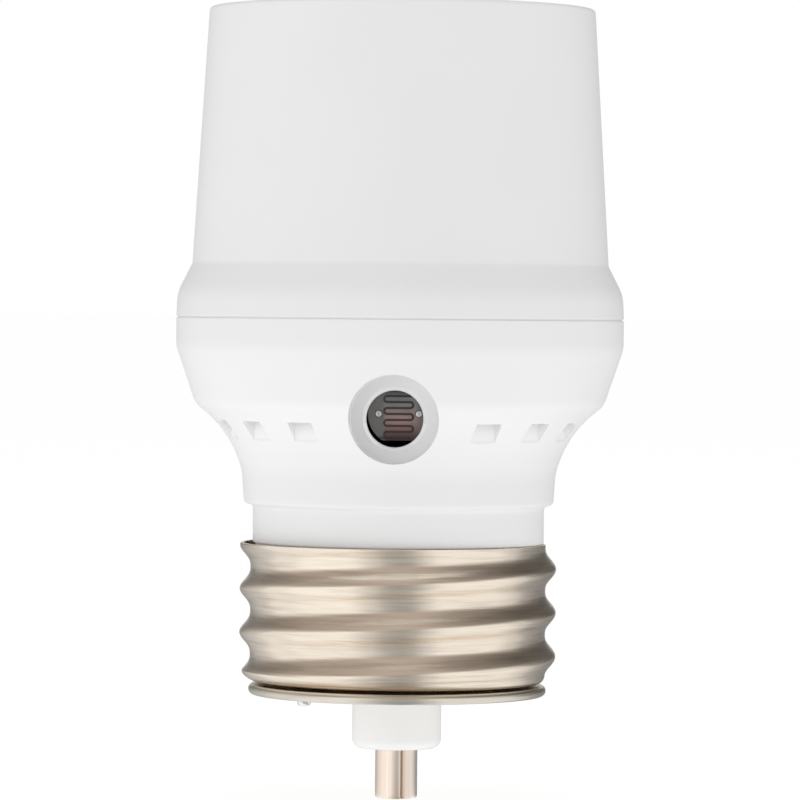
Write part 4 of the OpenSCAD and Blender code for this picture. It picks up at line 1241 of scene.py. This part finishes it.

# Colours of the photocell: its rim, and its layers by share of the face's height, with painted shade towards
# the bottom and under the top of the hole, the film's own tone in its middle, and a painted reflection of the
# lacquer that greys the film's upper part
OLIVE = (0.125, 0.124, 0.116)
CERAMIC_TONES_WITH_PAINTED_SHADE = ((0.0, (0.03, 0.028, 0.027)), (1.0, (0.06, 0.058, 0.055)))
FILM_TONES_WITH_PAINTED_LIGHT = (
    (0.12, (0.025, 0.01, 0.01)), (0.22, (0.08, 0.036, 0.036)), (0.36, (0.22, 0.13, 0.122)),
    (0.5, (0.32, 0.208, 0.19)), (0.63, (0.255, 0.188, 0.18)), (0.75, (0.19, 0.184, 0.184)),
    (0.9, (0.165, 0.165, 0.165)), (0.97, (0.05, 0.05, 0.05)),
)
TRACK_TONES_WITH_PAINTED_SHADE = (
    (0.1, (0.02, 0.006, 0.007)), (0.4, (0.05, 0.02, 0.02)), (0.65, (0.042, 0.026, 0.025)),
    (0.9, (0.022, 0.022, 0.022)),
)
TRACK_RIM = 0.4

# CAD nodes that stay as plain mouldings: node, material, colour and roughness
MOULDINGS = (
    ("socket_carrier", "carrier_resin", (0.66, 0.6, 0.48), 0.5),
    ("thyristor", "part_epoxy", (0.028, 0.028, 0.03), 0.45),
    ("rectifier_diodes", "diode_epoxy", (0.035, 0.035, 0.038), 0.4),
    ("resistors", "resistor_lacquer", (0.6, 0.47, 0.28), 0.35),
    ("capacitor", "can_sleeve", (0.05, 0.075, 0.11), 0.3),
    ("line_lead", "black_cover", (0.025, 0.025, 0.028), 0.45),
    ("neutral_lead", "white_cover", (0.78, 0.77, 0.74), 0.45),
    ("switched_lead", "red_cover", (0.42, 0.03, 0.022), 0.45),
)


def dress(node, finish):
    """Gives a CAD node that stays its material."""
    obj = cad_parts[node]
    obj.data.materials.clear()
    obj.data.materials.append(finish.material)


def build():
    """All pieces with their materials."""
    upper_housing(moulded_plastic("cup_white", (0.845, 0.845, 0.843)))
    # The bowl's white, the paler white of the painted light on its stub and in its vents, and the shares of the
    # white for the port ring's painted shade, left and right
    lower_housing(bowl_plastic("bowl_white", (0.86, 0.862, 0.862), (0.95, 0.952, 0.952), (0.82, 0.96)))
    screw_shell(rolled_metal("shell_plating", (0.88, 0.785, 0.67), (0.78, 0.69, 0.58), 0.2))
    end_disc(rolled_metal("disc_plating", (0.74, 0.69, 0.61), (0.64, 0.59, 0.52), 0.24))
    solder_dab(plain_metal("solder_tin", (0.86, 0.86, 0.85), (0.7, 0.7, 0.69), 0.22, 0.4))
    contact_pin(drawn_metal("pin_copper", PIN_PAINTED_LIGHT_TONES, (0.8, 0.67, 0.57), 0.34))
    cell_leads(plain_metal("wire_tin", (0.75, 0.74, 0.72), (0.6, 0.59, 0.57), 0.25))
    lamp_shell(rolled_metal("socket_plating", (0.8, 0.77, 0.71), (0.74, 0.71, 0.65), 0.24))
    brass = plain_metal("contact_brass", (0.82, 0.66, 0.36), (0.74, 0.57, 0.29), 0.26)
    contact_tongue(brass)
    socket_rivets(plain_metal("rivet_steel", (0.72, 0.7, 0.66), (0.64, 0.62, 0.58), 0.3), brass)
    dress("photocell_body", lacquered("cell_ceramic", CERAMIC_TONES_WITH_PAINTED_SHADE, OLIVE, 0.6))
    dress("photocell_electrodes", lacquered("cell_film", FILM_TONES_WITH_PAINTED_LIGHT, OLIVE, 0.8))
    dress("photocell_track", lacquered("cell_sulfide", TRACK_TONES_WITH_PAINTED_SHADE, tint(OLIVE, TRACK_RIM), 0.4))
    dress("circuit_board", laminate("board_paper", (0.36, 0.24, 0.1), (0.26, 0.165, 0.06)))
    for node, name, colour, roughness in MOULDINGS:
        dress(node, moulded_plastic(name, colour, roughness))


build()
add_camera()
add_world()
add_floor()
for values in SOFTBOXES:
    add_softbox(*values)
bpy.context.scene.view_settings.view_transform = "Standard"
